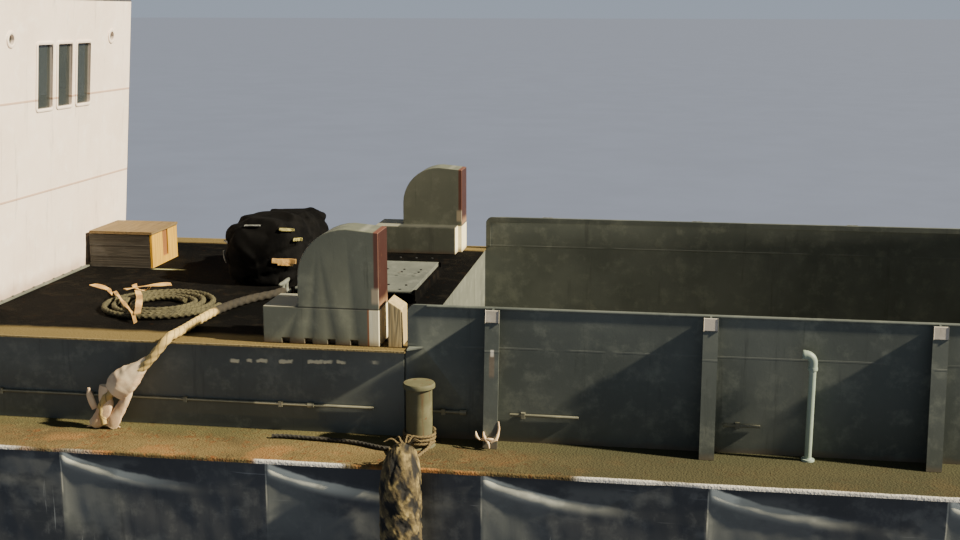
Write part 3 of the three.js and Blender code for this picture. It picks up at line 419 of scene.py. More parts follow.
# Centripetal Catmull-Rom curve through points, the same line as the solid's
def throughPoints(points, step):
    p = np.array(points, float)
    p = np.concatenate([[2 * p[0] - p[1]], p, [2 * p[-1] - p[-2]]])
    whole = []
    t = np.linspace(0, 1, 24, endpoint=False)[:, None]
    for i in range(1, len(p) - 2):
        p0, p1, p2, p3 = p[i - 1:i + 3]
        d0, d1, d2 = (np.sqrt(np.linalg.norm(b - a)) for a, b in ((p0, p1), (p1, p2), (p2, p3)))
        m1 = d1 * ((p1 - p0) / d0 - (p2 - p0) / (d0 + d1) + (p2 - p1) / d1)
        m2 = d1 * ((p2 - p1) / d1 - (p3 - p1) / (d1 + d2) + (p3 - p2) / d2)
        h = (2 * t**3 - 3 * t**2 + 1) * p1 + (t**3 - 2 * t**2 + t) * m1
        whole.append(h + (3 * t**2 - 2 * t**3) * p2 + (t**3 - t**2) * m2)
    return spaced(np.concatenate([*whole, [p[-2]]]), step)


# A round bar along a path; radius may change along it
def rod(path, radius, sides=14):
    path = np.array(path, float)
    a, b = framesAlong(path)
    angle = np.linspace(0, 2 * np.pi, sides, endpoint=False)
    r = np.broadcast_to(np.array(radius, float), len(path))[:, None, None]
    ring = np.cos(angle)[None, :, None] * a[:, None] + np.sin(angle)[None, :, None] * b[:, None]
    return ringShell(path[:, None] + r * ring, lengthsAlong(path))


# A straight bar with softened ends
def bar(start, end, radius, sides=20, soft=0.25):
    start, end = np.array(start, float), np.array(end, float)
    length = np.linalg.norm(end - start)
    way = (end - start) / length
    s = radius * soft
    spots = [0, 0.3 * s, s, length - s, length - 0.3 * s, length]
    radii = [radius - s, radius - 0.3 * s, radius, radius, radius - 0.3 * s, radius - s]
    return rod(start + np.outer(spots, way), radii, sides)


# Laid rope: the outline of three round strands side by side, turned steadily along the path
def laidRope(path, radius, lay, sides=18, strands=3, relief=1):
    a, b = framesAlong(path)
    s = lengthsAlong(path)
    angle = np.linspace(0, 2 * np.pi, sides, endpoint=False)
    strand = 0.464 * radius
    out = radius - strand
    local = (strands * (angle[None] - 2 * np.pi * s[:, None] / lay)) % (2 * np.pi) / strands - np.pi / strands
    edge = out * np.cos(local) + np.sqrt(np.maximum(strand**2 - (out * np.sin(local)) ** 2, 0))
    r = (radius + relief * (np.maximum(edge, 0.7 * radius) - radius))[:, :, None]
    ring = np.cos(angle)[None, :, None] * a[:, None] + np.sin(angle)[None, :, None] * b[:, None]
    return ringShell(path[:, None] + r * ring, s)


# Cloth wound round a path: the radius swells in folds that turn slowly as they go; flat squeezes it along y
def foldedTube(points, radii, folds=5, deep=0.12, twist=9, seed=1, sides=40, flat=0.62, floor=None):
    path = throughPoints(points, 0.006)
    a, b = framesAlong(path)
    s = lengthsAlong(path)[:, None]
    at = np.linspace(0, 1, len(radii))
    angle = np.linspace(0, 2 * np.pi, sides, endpoint=False)[None]
    base = np.interp(s / s[-1], at, radii)
    crease = np.abs(np.sin(folds * angle / 2 + twist * s + seed)) ** 0.7
    r = base * (1 - deep * crease + 0.4 * deep * waves(seed, s, angle * 0.03, (0.11, 0.05)))
    ring = np.cos(angle)[..., None] * a[:, None] + np.sin(angle)[..., None] * b[:, None]
    ring[..., 1] *= flat
    grid = path[:, None] + r[..., None] * ring
    if floor is not None:
        grid[..., 2] = np.maximum(grid[..., 2], floor)
    return ringShell(grid, s[:, 0])


def joined(shells):
    points, faces, corners, offset = [], [], [], 0
    for shellPoints, shellFaces, shellCorners in shells:
        points.append(shellPoints)
        faces += [[k + offset for k in f] for f in shellFaces]
        corners += shellCorners or [[[0.0, 0.0]] * len(f) for f in shellFaces]
        offset += len(shellPoints)
    return np.concatenate(points), faces, corners


def dress(thing, body, material, replaces, bevel):
    thing.data.materials.clear()
    thing.data.materials.append(material)
    if bevel:
        edge = thing.modifiers.new("edges", "BEVEL")
        edge.width = bevel
        edge.segments = 2
        edge.limit_method = "ANGLE"
        edge.angle_limit = math.radians(40)
        edge.harden_normals = True
    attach(thing, body)
    if replaces:
        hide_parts(*replaces)
    return thing


# A new piece from one shell or several
def piece(name, shells, material, body="hull", replaces=(), bevel=0, sharp=38):
    points, faces, corners = joined(shells)
    mesh = bpy.data.meshes.new(name)
    mesh.from_pydata(points.tolist(), [], faces)
    flat = np.array([uv for face in corners for uv in face], np.float32)
    mesh.uv_layers.new(name="lie").data.foreach_set("uv", flat.ravel())
    mesh.shade_smooth()
    mesh.set_sharp_from_angle(angle=math.radians(sharp))
    thing = bpy.data.objects.new(name, mesh)
    bpy.context.scene.collection.objects.link(thing)
    return dress(thing, body, material, replaces, bevel)


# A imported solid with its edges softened: a merged copy stands for the solid
def softened(node, material, bevel):
    source = nodes[node]
    mesh = bpy.data.meshes.new(node + ".edged")
    work = bmesh.new()
    work.from_mesh(source.data)
    bmesh.ops.remove_doubles(work, verts=work.verts, dist=1e-5)
    bmesh.ops.dissolve_limit(work, angle_limit=math.radians(0.5), verts=work.verts, edges=work.edges)
    work.to_mesh(mesh)
    work.free()
    mesh.shade_smooth()
    mesh.set_sharp_from_angle(angle=math.radians(38))
    thing = bpy.data.objects.new(node + ".edged", mesh)
    bpy.context.scene.collection.objects.link(thing)
    return dress(thing, source["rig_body"], material, [node], bevel)


# A smooth random height over whole arrays: sine waves of several lengths with fixed phases
def waves(seed, x, y, lengths, share=0.6):
    random = np.random.default_rng(seed)
    total = 0
    for k, length in enumerate(lengths):
        for turn, phase in zip(random.uniform(0, np.pi, 3), random.uniform(0, 6.3, 3)):
            along = x * np.cos(turn) + y * np.sin(turn)
            total = total + share**k * np.sin(2 * np.pi * along / length + phase) / 3
    return total


# Finishes
def steelPaint(name, base, dark, light, rust, rustAt=0.62, roughness=0.62, extra=None, grit=0, sheen=0.5):
    paint = Paint(name)
    clouds = paint.noise(1.3, 5, 0.6)
    mottle = paint.noise(9, 5, 0.65, shift=3.1)
    grain = paint.noise(70, 3, 0.6)
    streak = paint.noise(1.0, 5, 0.7, (11, 11, 0.9), 1.4)
    colour = paint.mix(paint.step(clouds, 0.35, 0.68), dark, base)
    colour = paint.mix(paint.step(mottle, 0.48, 0.72) * 0.7, colour, light)
    colour = paint.mix(paint.step(streak, 0.56, 0.74) * 0.55, colour, tuple(c * 0.45 for c in dark))
    spots = paint.step(paint.noise(26, 5, 0.7, shift=6.2) * 0.6 + mottle * 0.4, rustAt - 0.03, rustAt + 0.05)
    runs = paint.step(paint.noise(1.0, 4, 0.65, (16, 16, 1.3), 8.3), rustAt, rustAt + 0.1)
    rusty = paint.maths("MAXIMUM", spots, runs * 0.6)
    rustTone = paint.mix(grain, rust, tuple(c * 0.45 for c in rust))
    colour = paint.mix(rusty, colour, rustTone)
    rough = roughness + (mottle - 0.5) * 0.25 + rusty * 0.22
    height = grain * (0.25 + grit) + mottle * 0.5 - spots * 0.3
    if extra:
        colour, rough, height = extra(paint, colour, rough, height)
    bump = paint.bump(height, 0.0016 + 0.003 * grit, 0.8)
    return paint.finish(colour, rough, 0.0, bump, Specular_IOR_Level=sheen)


rustBrown = (0.17, 0.065, 0.026)


def hullEdges(paint, colour, rough, height):
    wet = paint.step(paint.z + paint.noise(2.4, 4, shift=4) * 0.16, 0.92, 0.74)
    colour = paint.mix(wet * 0.75, colour, (0.018, 0.022, 0.018))
    scuffs = paint.step(paint.noise(1.0, 4, 0.6, (1.6, 1.6, 26), 5), 0.63, 0.72)
    colour = paint.mix(scuffs * paint.step(paint.z, 1.0, 1.4) * 0.5, colour, (0.32, 0.33, 0.32))
    ahead = paint.maths("FRACT", (paint.x - firstFrame) / framePitch + 20) * framePitch
    drop = sideDeckZ - paint.z
    fallen = 1 - paint.maths("EXPONENT", ahead * -ridgeLine["rate"])
    below = drop - ridgeLine["start"] - ridgeLine["fall"] * fallen
    # Painted light: the pale band along the crease in each bay is a painted highlight where the dented plate
    # turns to the light, and the near black band above it is painted shadow under the deck edge
    paintedLitRidge = paint.step(below + (paint.noise(7, 4, 0.6) - 0.5) * 0.03, -0.008, 0.008)
    paintedLitRidge = paintedLitRidge * paint.step(below, 0.105 - ahead * 0.03, 0.020) * paint.step(ahead, 0.92, 0.10)
    paintedLitRidge = paintedLitRidge * paint.step(ahead, 0.002, 0.03) * paint.step(paint.x, 4.3, 4.1)
    paintedLitRidge = paintedLitRidge * paint.step(paint.noise(3.0, 4, 0.6, shift=6), 0.22, 0.38)
    shade = paint.step(below, 0.0, -0.03) * paint.step(ahead, 1.0, 0.6)
    colour = paint.mix(shade * 0.7, colour, (0.012, 0.014, 0.016))
    colour = paint.mix(paintedLitRidge, colour, (0.86, 0.86, 0.70))
    # Painted light: a lighter grey below the crease, fading downward and forward
    low = paint.step(below, 0.04, 0.10) * paint.step(ahead, 0.50, 0.10) * paint.step(drop, 0.6, 0.35)
    colour = paint.mix(low * 0.45, colour, (0.20, 0.215, 0.19))
    patch = paint.step(paint.noise(1.0, 5, 0.6, (1.5, 1, 2.2), 17), 0.50, 0.60) * paint.step(drop, 0.03, 0.10)
    colour = paint.mix(patch * 0.55, colour, (0.15, 0.155, 0.14))
    weld = paint.step(ahead, 0.011, 0.006) * paint.step(drop, 0.34, 0.22)
    weld = weld * paint.step(paint.noise(6, 3, shift=9), 0.35, 0.5)
    colour = paint.mix(weld * 0.8, colour, (0.42, 0.41, 0.33))
    drips = paint.step(paint.noise(1.0, 4, 0.6, (34, 34, 1.4), 12), 0.68, 0.74)
    colour = paint.mix(drips * paint.step(paint.z, 1.38, 1.2) * 0.7, colour, (0.40, 0.42, 0.40))
    return colour, rough - wet * 0.2 - paintedLitRidge * 0.15, height


def deckWear(paint, colour, rough, height):
    edge = paint.noise(3.2, 5, 0.65, shift=2.2)
    sheer = paint.step(paint.x, 3.9, 4.4)
    rim = paint.step(abs(paint.y) + (edge - 0.5) * 0.03, 2.165, 2.180) * (1 - sheer)
    # The rolled outer edge is pale along two stretches and in patches: worn paint, and a painted highlight
    # where the edge meets the light
    rubbedAndHighlit = paint.maths("MAXIMUM", paint.band(paint.x, -3.70, 0.25, 0.05),
                         paint.band(paint.x, -1.15, 0.92, 0.10))
    rubbedAndHighlit = paint.maths("MAXIMUM", rubbedAndHighlit, paint.step(paint.noise(0.55, 3, 0.5, shift=7), 0.52, 0.58))
    chipped = paint.step(paint.noise(9, 4, shift=7), 0.30, 0.42)
    colour = paint.mix(rim * rubbedAndHighlit * chipped, colour, (0.62, 0.59, 0.53))
    rusty = rim * (1 - rubbedAndHighlit) * paint.step(paint.noise(4, 3, shift=8), 0.5, 0.62)
    colour = paint.mix(rusty * 0.7, colour, (0.40, 0.17, 0.05))
    tread = paint.step(paint.noise(1.6, 4, 0.6, (0.5, 1, 1), 4.4), 0.45, 0.62)
    colour = paint.mix(tread * (1 - rim) * 0.35, colour, (0.24, 0.175, 0.075))
    inner = paint.step(abs(paint.y) + (edge - 0.5) * 0.35, 1.92, 1.74)
    colour = paint.mix(inner * paint.step(paint.z, 1.50, 1.52) * 0.6, colour, (0.080, 0.084, 0.034))
    rust = paint.step(paint.noise(2.6, 4, 0.6, shift=15), 0.52, 0.64) * paint.step(abs(paint.y), 1.78, 2.02)
    colour = paint.mix(rust * (1 - rim) * 0.45, colour, (0.30, 0.145, 0.05))
    # Darker forward of the guard: dirt, and painted shade
    fore = paint.step(paint.x + paint.noise(1.5, 3, shift=3) * 1.0, -3.3, -1.3) * (1 - rim)
    colour = paint.mix(fore * 0.84, colour, (0.046, 0.047, 0.024))
    pit = paint.cells(75)
    return colour, rough + 0.1, height + pit * 0.7


def trunkMarks(paint, colour, rough, height):
    ragged = (paint.noise(28, 3, shift=2) - 0.5) * 0.03
    row = paint.band(paint.z - paint.x * 0.03 + ragged, 2.096, 0.006, 0.008)
    spots = paint.step(paint.noise(1.0, 2, 0.5, (8.5, 1, 1), 1.1), 0.46, 0.52)
    spots = spots * paint.step(paint.x, -3.72, -3.69)
    for middle, half in [(-4.257, 0.022), (-4.165, 0.010), (-4.085, 0.026), (-3.934, 0.034), (-3.749, 0.040)]:
        spots = paint.maths("MAXIMUM", spots, paint.band(paint.x + ragged, middle, half, 0.014))
    row = row * spots * paint.step(paint.x, -3.34, -3.40)
    row = row * paint.step(paint.noise(50, 4, 0.7, shift=2), 0.26, 0.40)
    colour = paint.mix(row, colour, (0.80, 0.74, 0.50))
    wash = paint.band(paint.z, 1.665, 0.035, 0.02) * paint.step(paint.x, -4.9, -4.5)
    wash = wash * paint.step(paint.x, -3.72, -3.75)
    colour = paint.mix(wash * 0.5, colour, (0.17, 0.17, 0.12))
    return colour, rough, height + row * 2


def guardRed(paint, colour, rough, height):
    face = paint.step(paint.x, -3.3525, -3.3505) * paint.step(paint.z, 2.322, 2.328)
    worn = paint.step(paint.noise(14, 5, 0.7, shift=9), 0.60, 0.70)
    red = paint.mix(worn, (0.034, 0.007, 0.003), (0.09, 0.036, 0.018))
    foot = paint.step(paint.z + paint.noise(9, 3, shift=4) * 0.06, 2.43, 2.36)
    red = paint.mix(foot, red, (0.26, 0.15, 0.08))
    colour = paint.mix(face, colour, red)
    side = paint.step(paint.x, -3.385, -3.375) * paint.step(paint.z, 2.40, 2.46)
    colour = paint.mix(side * (1 - face) * 0.8, colour, (0.13, 0.024, 0.010))
    patch = paint.step(paint.x, -3.402, -3.388) * paint.band(paint.z, 2.40, 0.03, 0.03)
    colour = paint.mix(patch * (1 - face), colour, (0.44, 0.36, 0.24))
    # Painted light: the base box's fore face and the last strip of its near face are cream paint made
    # brighter, for sun that the timber block's shadow keeps off; the orange strip beside them is painted
    # shade on that edge
    low = paint.step(paint.x, -3.3905, -3.3885) * paint.step(paint.z, 2.322, 2.316)
    colour = paint.mix(low, colour, (0.92, 0.84, 0.56))
    base = paint.step(abs(paint.y), 1.640, 1.652) * paint.step(paint.z, 2.322, 2.316) * (1 - low)
    colour = paint.mix(base * paint.step(paint.x, -3.426, -3.418) * 0.9, colour, (0.36, 0.12, 0.035))
    colour = paint.mix(base * paint.step(paint.x, -3.415, -3.409), colour, (0.94, 0.88, 0.62))
    seam = paint.band(paint.z, 2.318, 0.003, 0.003)
    colour = paint.mix(seam * 0.7, colour, (0.02, 0.02, 0.018))
    # Painted highlight: a pale strip along the top of the arch toward its fore end
    crown = paint.step(paint.z, 2.790, 2.798) * paint.step(paint.x, -3.48, -3.42)
    colour = paint.mix(crown * 0.85, colour, (0.66, 0.63, 0.52))
    # Painted highlight along the top edge of the base box
    baseEdgeHighlight = paint.band(paint.z, 2.3195, 0.0015, 0.002) * paint.step(paint.x, -3.86, -3.88)
    colour = paint.mix(baseEdgeHighlight * 0.6, colour, (0.36, 0.35, 0.26))
    stain = paint.step(paint.z + paint.noise(12, 3, shift=3) * 0.05, 2.165, 2.11)
    colour = paint.mix(stain * 0.55, colour, (0.13, 0.055, 0.025))
    return colour, rough, height - seam * 3


hullPaint = steelPaint("hullPaint", (0.058, 0.061, 0.062), (0.026, 0.029, 0.031), (0.125, 0.128, 0.118),
                       rustBrown, 0.68, 0.46, hullEdges)
greyPaint = steelPaint("greyPaint", (0.150, 0.160, 0.132), (0.095, 0.104, 0.088), (0.20, 0.21, 0.175),
                       rustBrown, 0.68, 0.66)
trunkPaint = steelPaint("trunkPaint", (0.155, 0.170, 0.150), (0.100, 0.112, 0.100), (0.21, 0.225, 0.19),
                        rustBrown, 0.69, 0.68, trunkMarks)
guardPaint = steelPaint("guardPaint", (0.160, 0.170, 0.125), (0.120, 0.128, 0.095), (0.205, 0.215, 0.16),
                        rustBrown, 0.76, 0.6, guardRed)
deckPaint = steelPaint("deckPaint", (0.145, 0.105, 0.042), (0.082, 0.060, 0.026), (0.215, 0.165, 0.072),
                       (0.18, 0.070, 0.020), 0.56, 0.9, deckWear, 1.2, 0.2)


# Coaming: a rubbed spot on the first stay and thin lines of old weld
def coamingMarks(paint, colour, rough, height):
    bead = paint.band(paint.z, 2.115, 0.004, 0.004) * paint.step(paint.noise(2.2, 3, shift=5), 0.42, 0.5)
    colour = paint.mix(bead * 0.25, colour, (0.16, 0.17, 0.15))
    spot = paint.band(paint.x, -2.657, 0.006, 0.008) * paint.band(paint.z, 2.105, 0.014, 0.012)
    spot = spot * paint.step(paint.y, -1.68, -1.70)
    colour = paint.mix(spot, colour, (0.70, 0.66, 0.56))
    run = paint.band(paint.x, -2.658, 0.010, 0.010) * paint.band(paint.z, 2.03, 0.05, 0.03)
    run = run * paint.step(paint.y, -1.68, -1.70)
    colour = paint.mix(run * 0.3, colour, (0.30, 0.17, 0.09))
    foot = paint.step(paint.z + paint.noise(7, 4, shift=3) * 0.06, 1.62, 1.565)
    foot = foot * paint.step(paint.z, 1.50, 1.53)
    colour = paint.mix(foot * 0.55, colour, (0.16, 0.11, 0.06))
    return colour, rough, height + bead


coamingPaint = steelPaint("coamingPaint", (0.118, 0.132, 0.116), (0.074, 0.086, 0.076), (0.165, 0.18, 0.15),
                          rustBrown, 0.69, 0.66, coamingMarks)


def deckTop(paint, colour, rough, height):
    side = abs(paint.y) + (paint.noise(4, 4, shift=5) - 0.5) * 0.10
    out = paint.step(side, 1.46, 1.56)
    out = out * paint.step(paint.z, 2.12, 2.10)
    colour = paint.mix(out, colour, (0.155, 0.115, 0.048))
    lip = paint.step(abs(paint.y), 1.722, 1.732)
    colour = paint.mix(lip * 0.75, colour, (0.30, 0.235, 0.115))
    spot = paint.band(paint.x, -5.50, 0.10, 0.05) * paint.band(paint.y, 0.36, 0.012, 0.012)
    colour = paint.mix(spot, colour, (0.30, 0.30, 0.16))
    return colour, rough, height + paint.cells(60) * 0.6


# Near black engine deck: dark deck and painted shade together, beside a tan band along its outer edges
engineDeckPaint = steelPaint("engineDeckPaint", (0.0045, 0.0042, 0.0040), (0.0025, 0.0025, 0.0025),
                             (0.014, 0.012, 0.009), (0.03, 0.014, 0.006), 0.62, 0.95, deckTop, 0.8, 0.04)


def houseMarks(paint, colour, rough, height):
    seams = paint.band(paint.z, 3.446, 0.005, 0.005)
    seams = paint.maths("MAXIMUM", seams, paint.band(paint.z, 2.778, 0.005, 0.005))
    colour = paint.mix(seams * 0.6, colour, (0.42, 0.20, 0.09))
    foot = paint.step(paint.z + paint.noise(6, 4, shift=1) * 0.12, 2.28, 2.14)
    colour = paint.mix(foot * 0.6, colour, (0.26, 0.15, 0.09))
    return colour, rough, height + seams * 1.5


palePaint = steelPaint("palePaint", (0.93, 0.80, 0.68), (0.86, 0.72, 0.60), (0.96, 0.87, 0.77),
                       (0.48, 0.24, 0.12), 0.74, 0.6, houseMarks)


def woodPaint(name, base, dark, along="x"):
    paint = Paint(name)
    stretch = {"x": (1.2, 26, 26), "y": (26, 1.2, 26), "z": (26, 26, 1.2)}[along]
    warp = paint.noise(1.4, 3, shift=2)
    fibre = paint.noise(1.0, 6, 0.7, stretch)
    ring = paint.maths("FRACT", paint.noise(0.55, 2, 0.5, stretch, 4) * 9 + warp)
    grain = paint.step(abs(ring - 0.5), 0.05, 0.42)
    colour = paint.mix(fibre, dark, base)
    colour = paint.mix(grain * 0.45, colour, tuple(c * 0.55 for c in dark))
    grey = paint.step(paint.noise(5, 4, shift=6), 0.52, 0.7)
    colour = paint.mix(grey * 0.25, colour, tuple((c + 0.2) * 0.6 for c in dark))
    return paint.finish(colour, 0.72 + fibre * 0.18, 0.0, paint.bump(fibre * 0.7 + grain * 0.5, 0.0012))


timberWood = woodPaint("timberWood", (0.60, 0.47, 0.24), (0.44, 0.33, 0.155), "z")
lidWood = woodPaint("lidWood", (0.225, 0.155, 0.062), (0.15, 0.098, 0.040), "y")
frontWood = woodPaint("frontWood", (0.68, 0.42, 0.040), (0.52, 0.27, 0.018), "z")
slotWood = woodPaint("slotWood", (0.36, 0.15, 0.04), (0.20, 0.08, 0.02), "z")
shadeWood = woodPaint("shadeWood", (0.075, 0.068, 0.055), (0.035, 0.032, 0.027), "x")
bittPaint = steelPaint("bittPaint", (0.130, 0.125, 0.070), (0.085, 0.082, 0.048), (0.19, 0.18, 0.105),
                       rustBrown, 0.62, 0.7, None, 0, 0.2)
pipePaint = steelPaint("pipePaint", (0.34, 0.42, 0.34), (0.24, 0.30, 0.24), (0.42, 0.48, 0.40), rustBrown,
                       0.74, 0.5)
padPaint = steelPaint("padPaint", (0.58, 0.52, 0.44), (0.45, 0.40, 0.33), (0.68, 0.63, 0.54), rustBrown,
                      0.66, 0.6)


def conduitMarks(paint, colour, rough, height):
    bare = paint.band(paint.x, -3.955, 0.17, 0.02)
    colour = paint.mix(bare, colour, (0.40, 0.37, 0.25))
    return colour, rough, height


conduitPaint = steelPaint("conduitPaint", (0.19, 0.185, 0.13), (0.12, 0.12, 0.09), (0.27, 0.26, 0.18),
                          rustBrown, 0.70, 0.55, conduitMarks)


def metalPaint(name, base, dark, roughness, metallic):
    paint = Paint(name)
    mottle = paint.noise(14, 5, 0.65)
    brushed = paint.noise(1, 4, 0.6, (160, 160, 20))
    colour = paint.mix(paint.step(mottle, 0.35, 0.68), dark, base)
    rough = roughness + (mottle - 0.5) * 0.3
    return paint.finish(colour, rough, metallic, paint.bump(mottle * 0.6 + brushed * 0.3, 0.0006))


bronzeMetal = metalPaint("bronzeMetal", (0.42, 0.27, 0.11), (0.16, 0.12, 0.06), 0.42, 0.85)
ironMetal = metalPaint("ironMetal", (0.06, 0.06, 0.058), (0.022, 0.022, 0.022), 0.5, 0.4)
wheelPaint = metalPaint("wheelPaint", (0.032, 0.032, 0.034), (0.016, 0.016, 0.017), 0.35, 0.0)


# Rope: fibres follow each strand through the UV, which runs along and round it
def fibrePaint(name, base, dark, soil, lay, paintedShadowY=None):
    paint = Paint(name)
    uv = paint.node("ShaderNodeUVMap", {"uv_map": "lie"}, {})
    u, v = paint.split(uv)[:2]
    slant = v + u / lay
    # Painted shade: the edges of each yarn and the gaps between strands are painted darker, standing for the
    # shade in those grooves
    yarn = paint.maths("FRACT", slant * 24)
    paintedLitRidge = paint.step(abs(yarn - 0.5), 0.5, 0.12)
    hair = paint.noise(260, 3, 0.7)
    patch = paint.noise(7, 4, 0.6)
    strand = paint.maths("FRACT", slant * 3)
    strandGapShade = paint.step(abs(strand - 0.5), 0.36, 0.5)
    colour = paint.mix(paintedLitRidge * 0.6 + hair * 0.4, dark, base)
    colour = paint.mix(paint.step(patch, 0.45, 0.7) * 0.6, colour, soil)
    colour = paint.mix(strandGapShade * 0.8, colour, tuple(c * 0.35 for c in dark))
    # Painted shadow: where y passes the given pair the rope turns near black, standing for a shadow across it
    if paintedShadowY:
        colour = paint.mix(paint.step(paint.y, *paintedShadowY) * 0.97, colour, (0.010, 0.010, 0.010))
    return paint.finish(colour, 0.88, 0.0, paint.bump(paintedLitRidge * 0.6 + hair * 0.5, 0.002))


# The last pair sets where the painted shadow on the hawser begins
hawserFibre = fibrePaint("hawserFibre", (0.84, 0.61, 0.21), (0.47, 0.33, 0.13), (0.38, 0.27, 0.11), 0.2,
                         (-1.10, -1.04))
lashingFibre = fibrePaint("lashingFibre", (0.26, 0.19, 0.085), (0.14, 0.10, 0.045), (0.10, 0.075, 0.035),
                          0.075)
coilFibre = fibrePaint("coilFibre", (0.135, 0.118, 0.055), (0.065, 0.058, 0.028), (0.030, 0.027, 0.016), 0.12)
darkFibre = fibrePaint("darkFibre", (0.055, 0.05, 0.042), (0.025, 0.023, 0.02), (0.10, 0.085, 0.06), 0.09)


def clothPaint(name, base, dark, scale=900, roughness=0.9, sheen=0.3):
    paint = Paint(name)
    warp = paint.maths("SINE", paint.x * scale + paint.noise(9, 3) * 6)
    weft = paint.maths("SINE", paint.z * scale + paint.y * scale * 0.7)
    weave = warp * weft * 0.5 + 0.5
    folds = paint.noise(8, 5, 0.6)
    colour = paint.mix(paint.step(folds, 0.34, 0.66), dark, base)
    colour = paint.mix(weave * 0.25, colour, tuple(c * 0.6 for c in dark))
    bump = paint.bump(weave * 0.3 + folds * 0.8, 0.003)
    return paint.finish(colour, roughness, 0.0, bump, Specular_IOR_Level=sheen)


eyeCloth = clothPaint("eyeCloth", (0.96, 0.76, 0.50), (0.74, 0.50, 0.30))
darkCanvas = clothPaint("darkCanvas", (0.0065, 0.0062, 0.0060), (0.0028, 0.0028, 0.0030), 700, 0.9, 0.06)
slingWeb = clothPaint("slingWeb", (0.78, 0.50, 0.18), (0.50, 0.28, 0.09), 1500)
oliveWeb = clothPaint("oliveWeb", (0.40, 0.36, 0.13), (0.22, 0.19, 0.07), 1500)
greyWeb = clothPaint("greyWeb", (0.30, 0.31, 0.30), (0.18, 0.19, 0.18), 1500)


# Frayed rope of the fender: its corner values say how proud each strand stands
def boundPaint():
    paint = Paint("fenderFibre")
    proud = paint.split(paint.node("ShaderNodeUVMap", {"uv_map": "lie"}, {}))[0]
    hair = paint.noise(170, 4, 0.7)
    worn = paint.noise(16, 5, 0.65, shift=3)
    tone = paint.mix(paint.step(worn, 0.40, 0.70), (0.085, 0.062, 0.026), (0.30, 0.225, 0.085))
    # Painted shade: strands lying low between the proud ones are painted near black, for the shade between
    # them
    tone = paint.mix(paint.step(proud + (hair - 0.5) * 0.25, 0.86, 0.50), tone, (0.010, 0.009, 0.007))
    return paint.finish(tone, 0.9, 0.0, paint.bump(hair * 0.6 + worn * 0.5, 0.004))


fenderFibre = boundPaint()


def glassPaint():
    paint = Paint("windowGlass")
    film = paint.noise(6, 4)
    return paint.finish(paint.mix(film, (0.035, 0.045, 0.045), (0.055, 0.065, 0.06)), 0.06 + film * 0.12, 0.0,
                        IOR=1.5, Alpha=0.55)


windowGlass = glassPaint()


def lampGlass(name, tone):
    paint = Paint(name)
    dust = paint.noise(20, 4)
    return paint.finish(paint.mix(dust, tone, tuple(c * 0.7 for c in tone)), 0.12 + dust * 0.15, 0.0,
                        IOR=1.45, Transmission_Weight=0.25)


clearLamp = lampGlass("clearLamp", (0.55, 0.56, 0.50))
redLamp = lampGlass("redLamp", (0.40, 0.02, 0.015))
greenLamp = lampGlass("greenLamp", (0.02, 0.22, 0.08))
print("finishes")


# Hawser from the cleat over the deck edge, with its served eye at the far end; metres, as in the solid
hawser = {
    "radius": 0.03,
    "lay": 0.2,
    "route": [
        (-4.350, -0.368, 2.121), (-4.352, -0.410, 2.121), (-4.378, -0.484, 2.121),
        (-4.469, -0.626, 2.121), (-4.541, -0.792, 2.121), (-4.592, -1.000, 2.121),
        (-4.612, -1.200, 2.121), (-4.620, -1.400, 2.121), (-4.622, -1.560, 2.123),
        (-4.628, -1.670, 2.125), (-4.636, -1.745, 2.123), (-4.652, -1.778, 2.100),
        (-4.690, -1.798, 2.052), (-4.745, -1.806, 1.988), (-4.815, -1.806, 1.920),
        (-4.900, -1.806, 1.848), (-4.970, -1.806, 1.795), (-5.030, -1.806, 1.745),
        (-5.062, -1.806, 1.685), (-5.062, -1.806, 1.620), (-5.050, -1.806, 1.575),
    ],
}


# The served eye: canvas that widens from the rope, two folded legs round a dark hole, and a loose ear
eyeFolds = {
    "sleeve": {
        "points": [(-4.755, -1.804, 1.988), (-4.80, -1.804, 1.95), (-4.87, -1.803, 1.885),
                   (-4.95, -1.802, 1.815), (-4.985, -1.802, 1.78)],
        "radii": [0.034, 0.042, 0.060, 0.078, 0.090, 0.088, 0.070],
        "folds": 5,
    },
    "foreLeg": {
        "points": [(-4.895, -1.80, 1.79), (-4.912, -1.80, 1.735), (-4.94, -1.798, 1.685),
                   (-4.98, -1.80, 1.62), (-5.02, -1.80, 1.556)],
        "radii": [0.032, 0.032, 0.034, 0.038, 0.044, 0.040],
        "folds": 3,
    },
    "aftLeg": {
        "points": [(-5.035, -1.802, 1.815), (-5.045, -1.80, 1.75), (-5.04, -1.80, 1.69),
                   (-5.075, -1.80, 1.62), (-5.13, -1.80, 1.558)],
        "radii": [0.040, 0.042, 0.050, 0.054, 0.050, 0.038],
        "folds": 4,
    },
    "ear": {
        "points": [(-5.148, -1.80, 1.795), (-5.146, -1.80, 1.755), (-5.132, -1.80, 1.705),
                   (-5.115, -1.80, 1.665)],
        "radii": [0.010, 0.023, 0.026, 0.022],
        "folds": 2,
    },
    "band": {
        "points": [(-5.075, -1.80, 1.60), (-5.03, -1.785, 1.585), (-4.985, -1.795, 1.575)],
        "radii": [0.030, 0.034, 0.028],
        "folds": 3,
    },
}


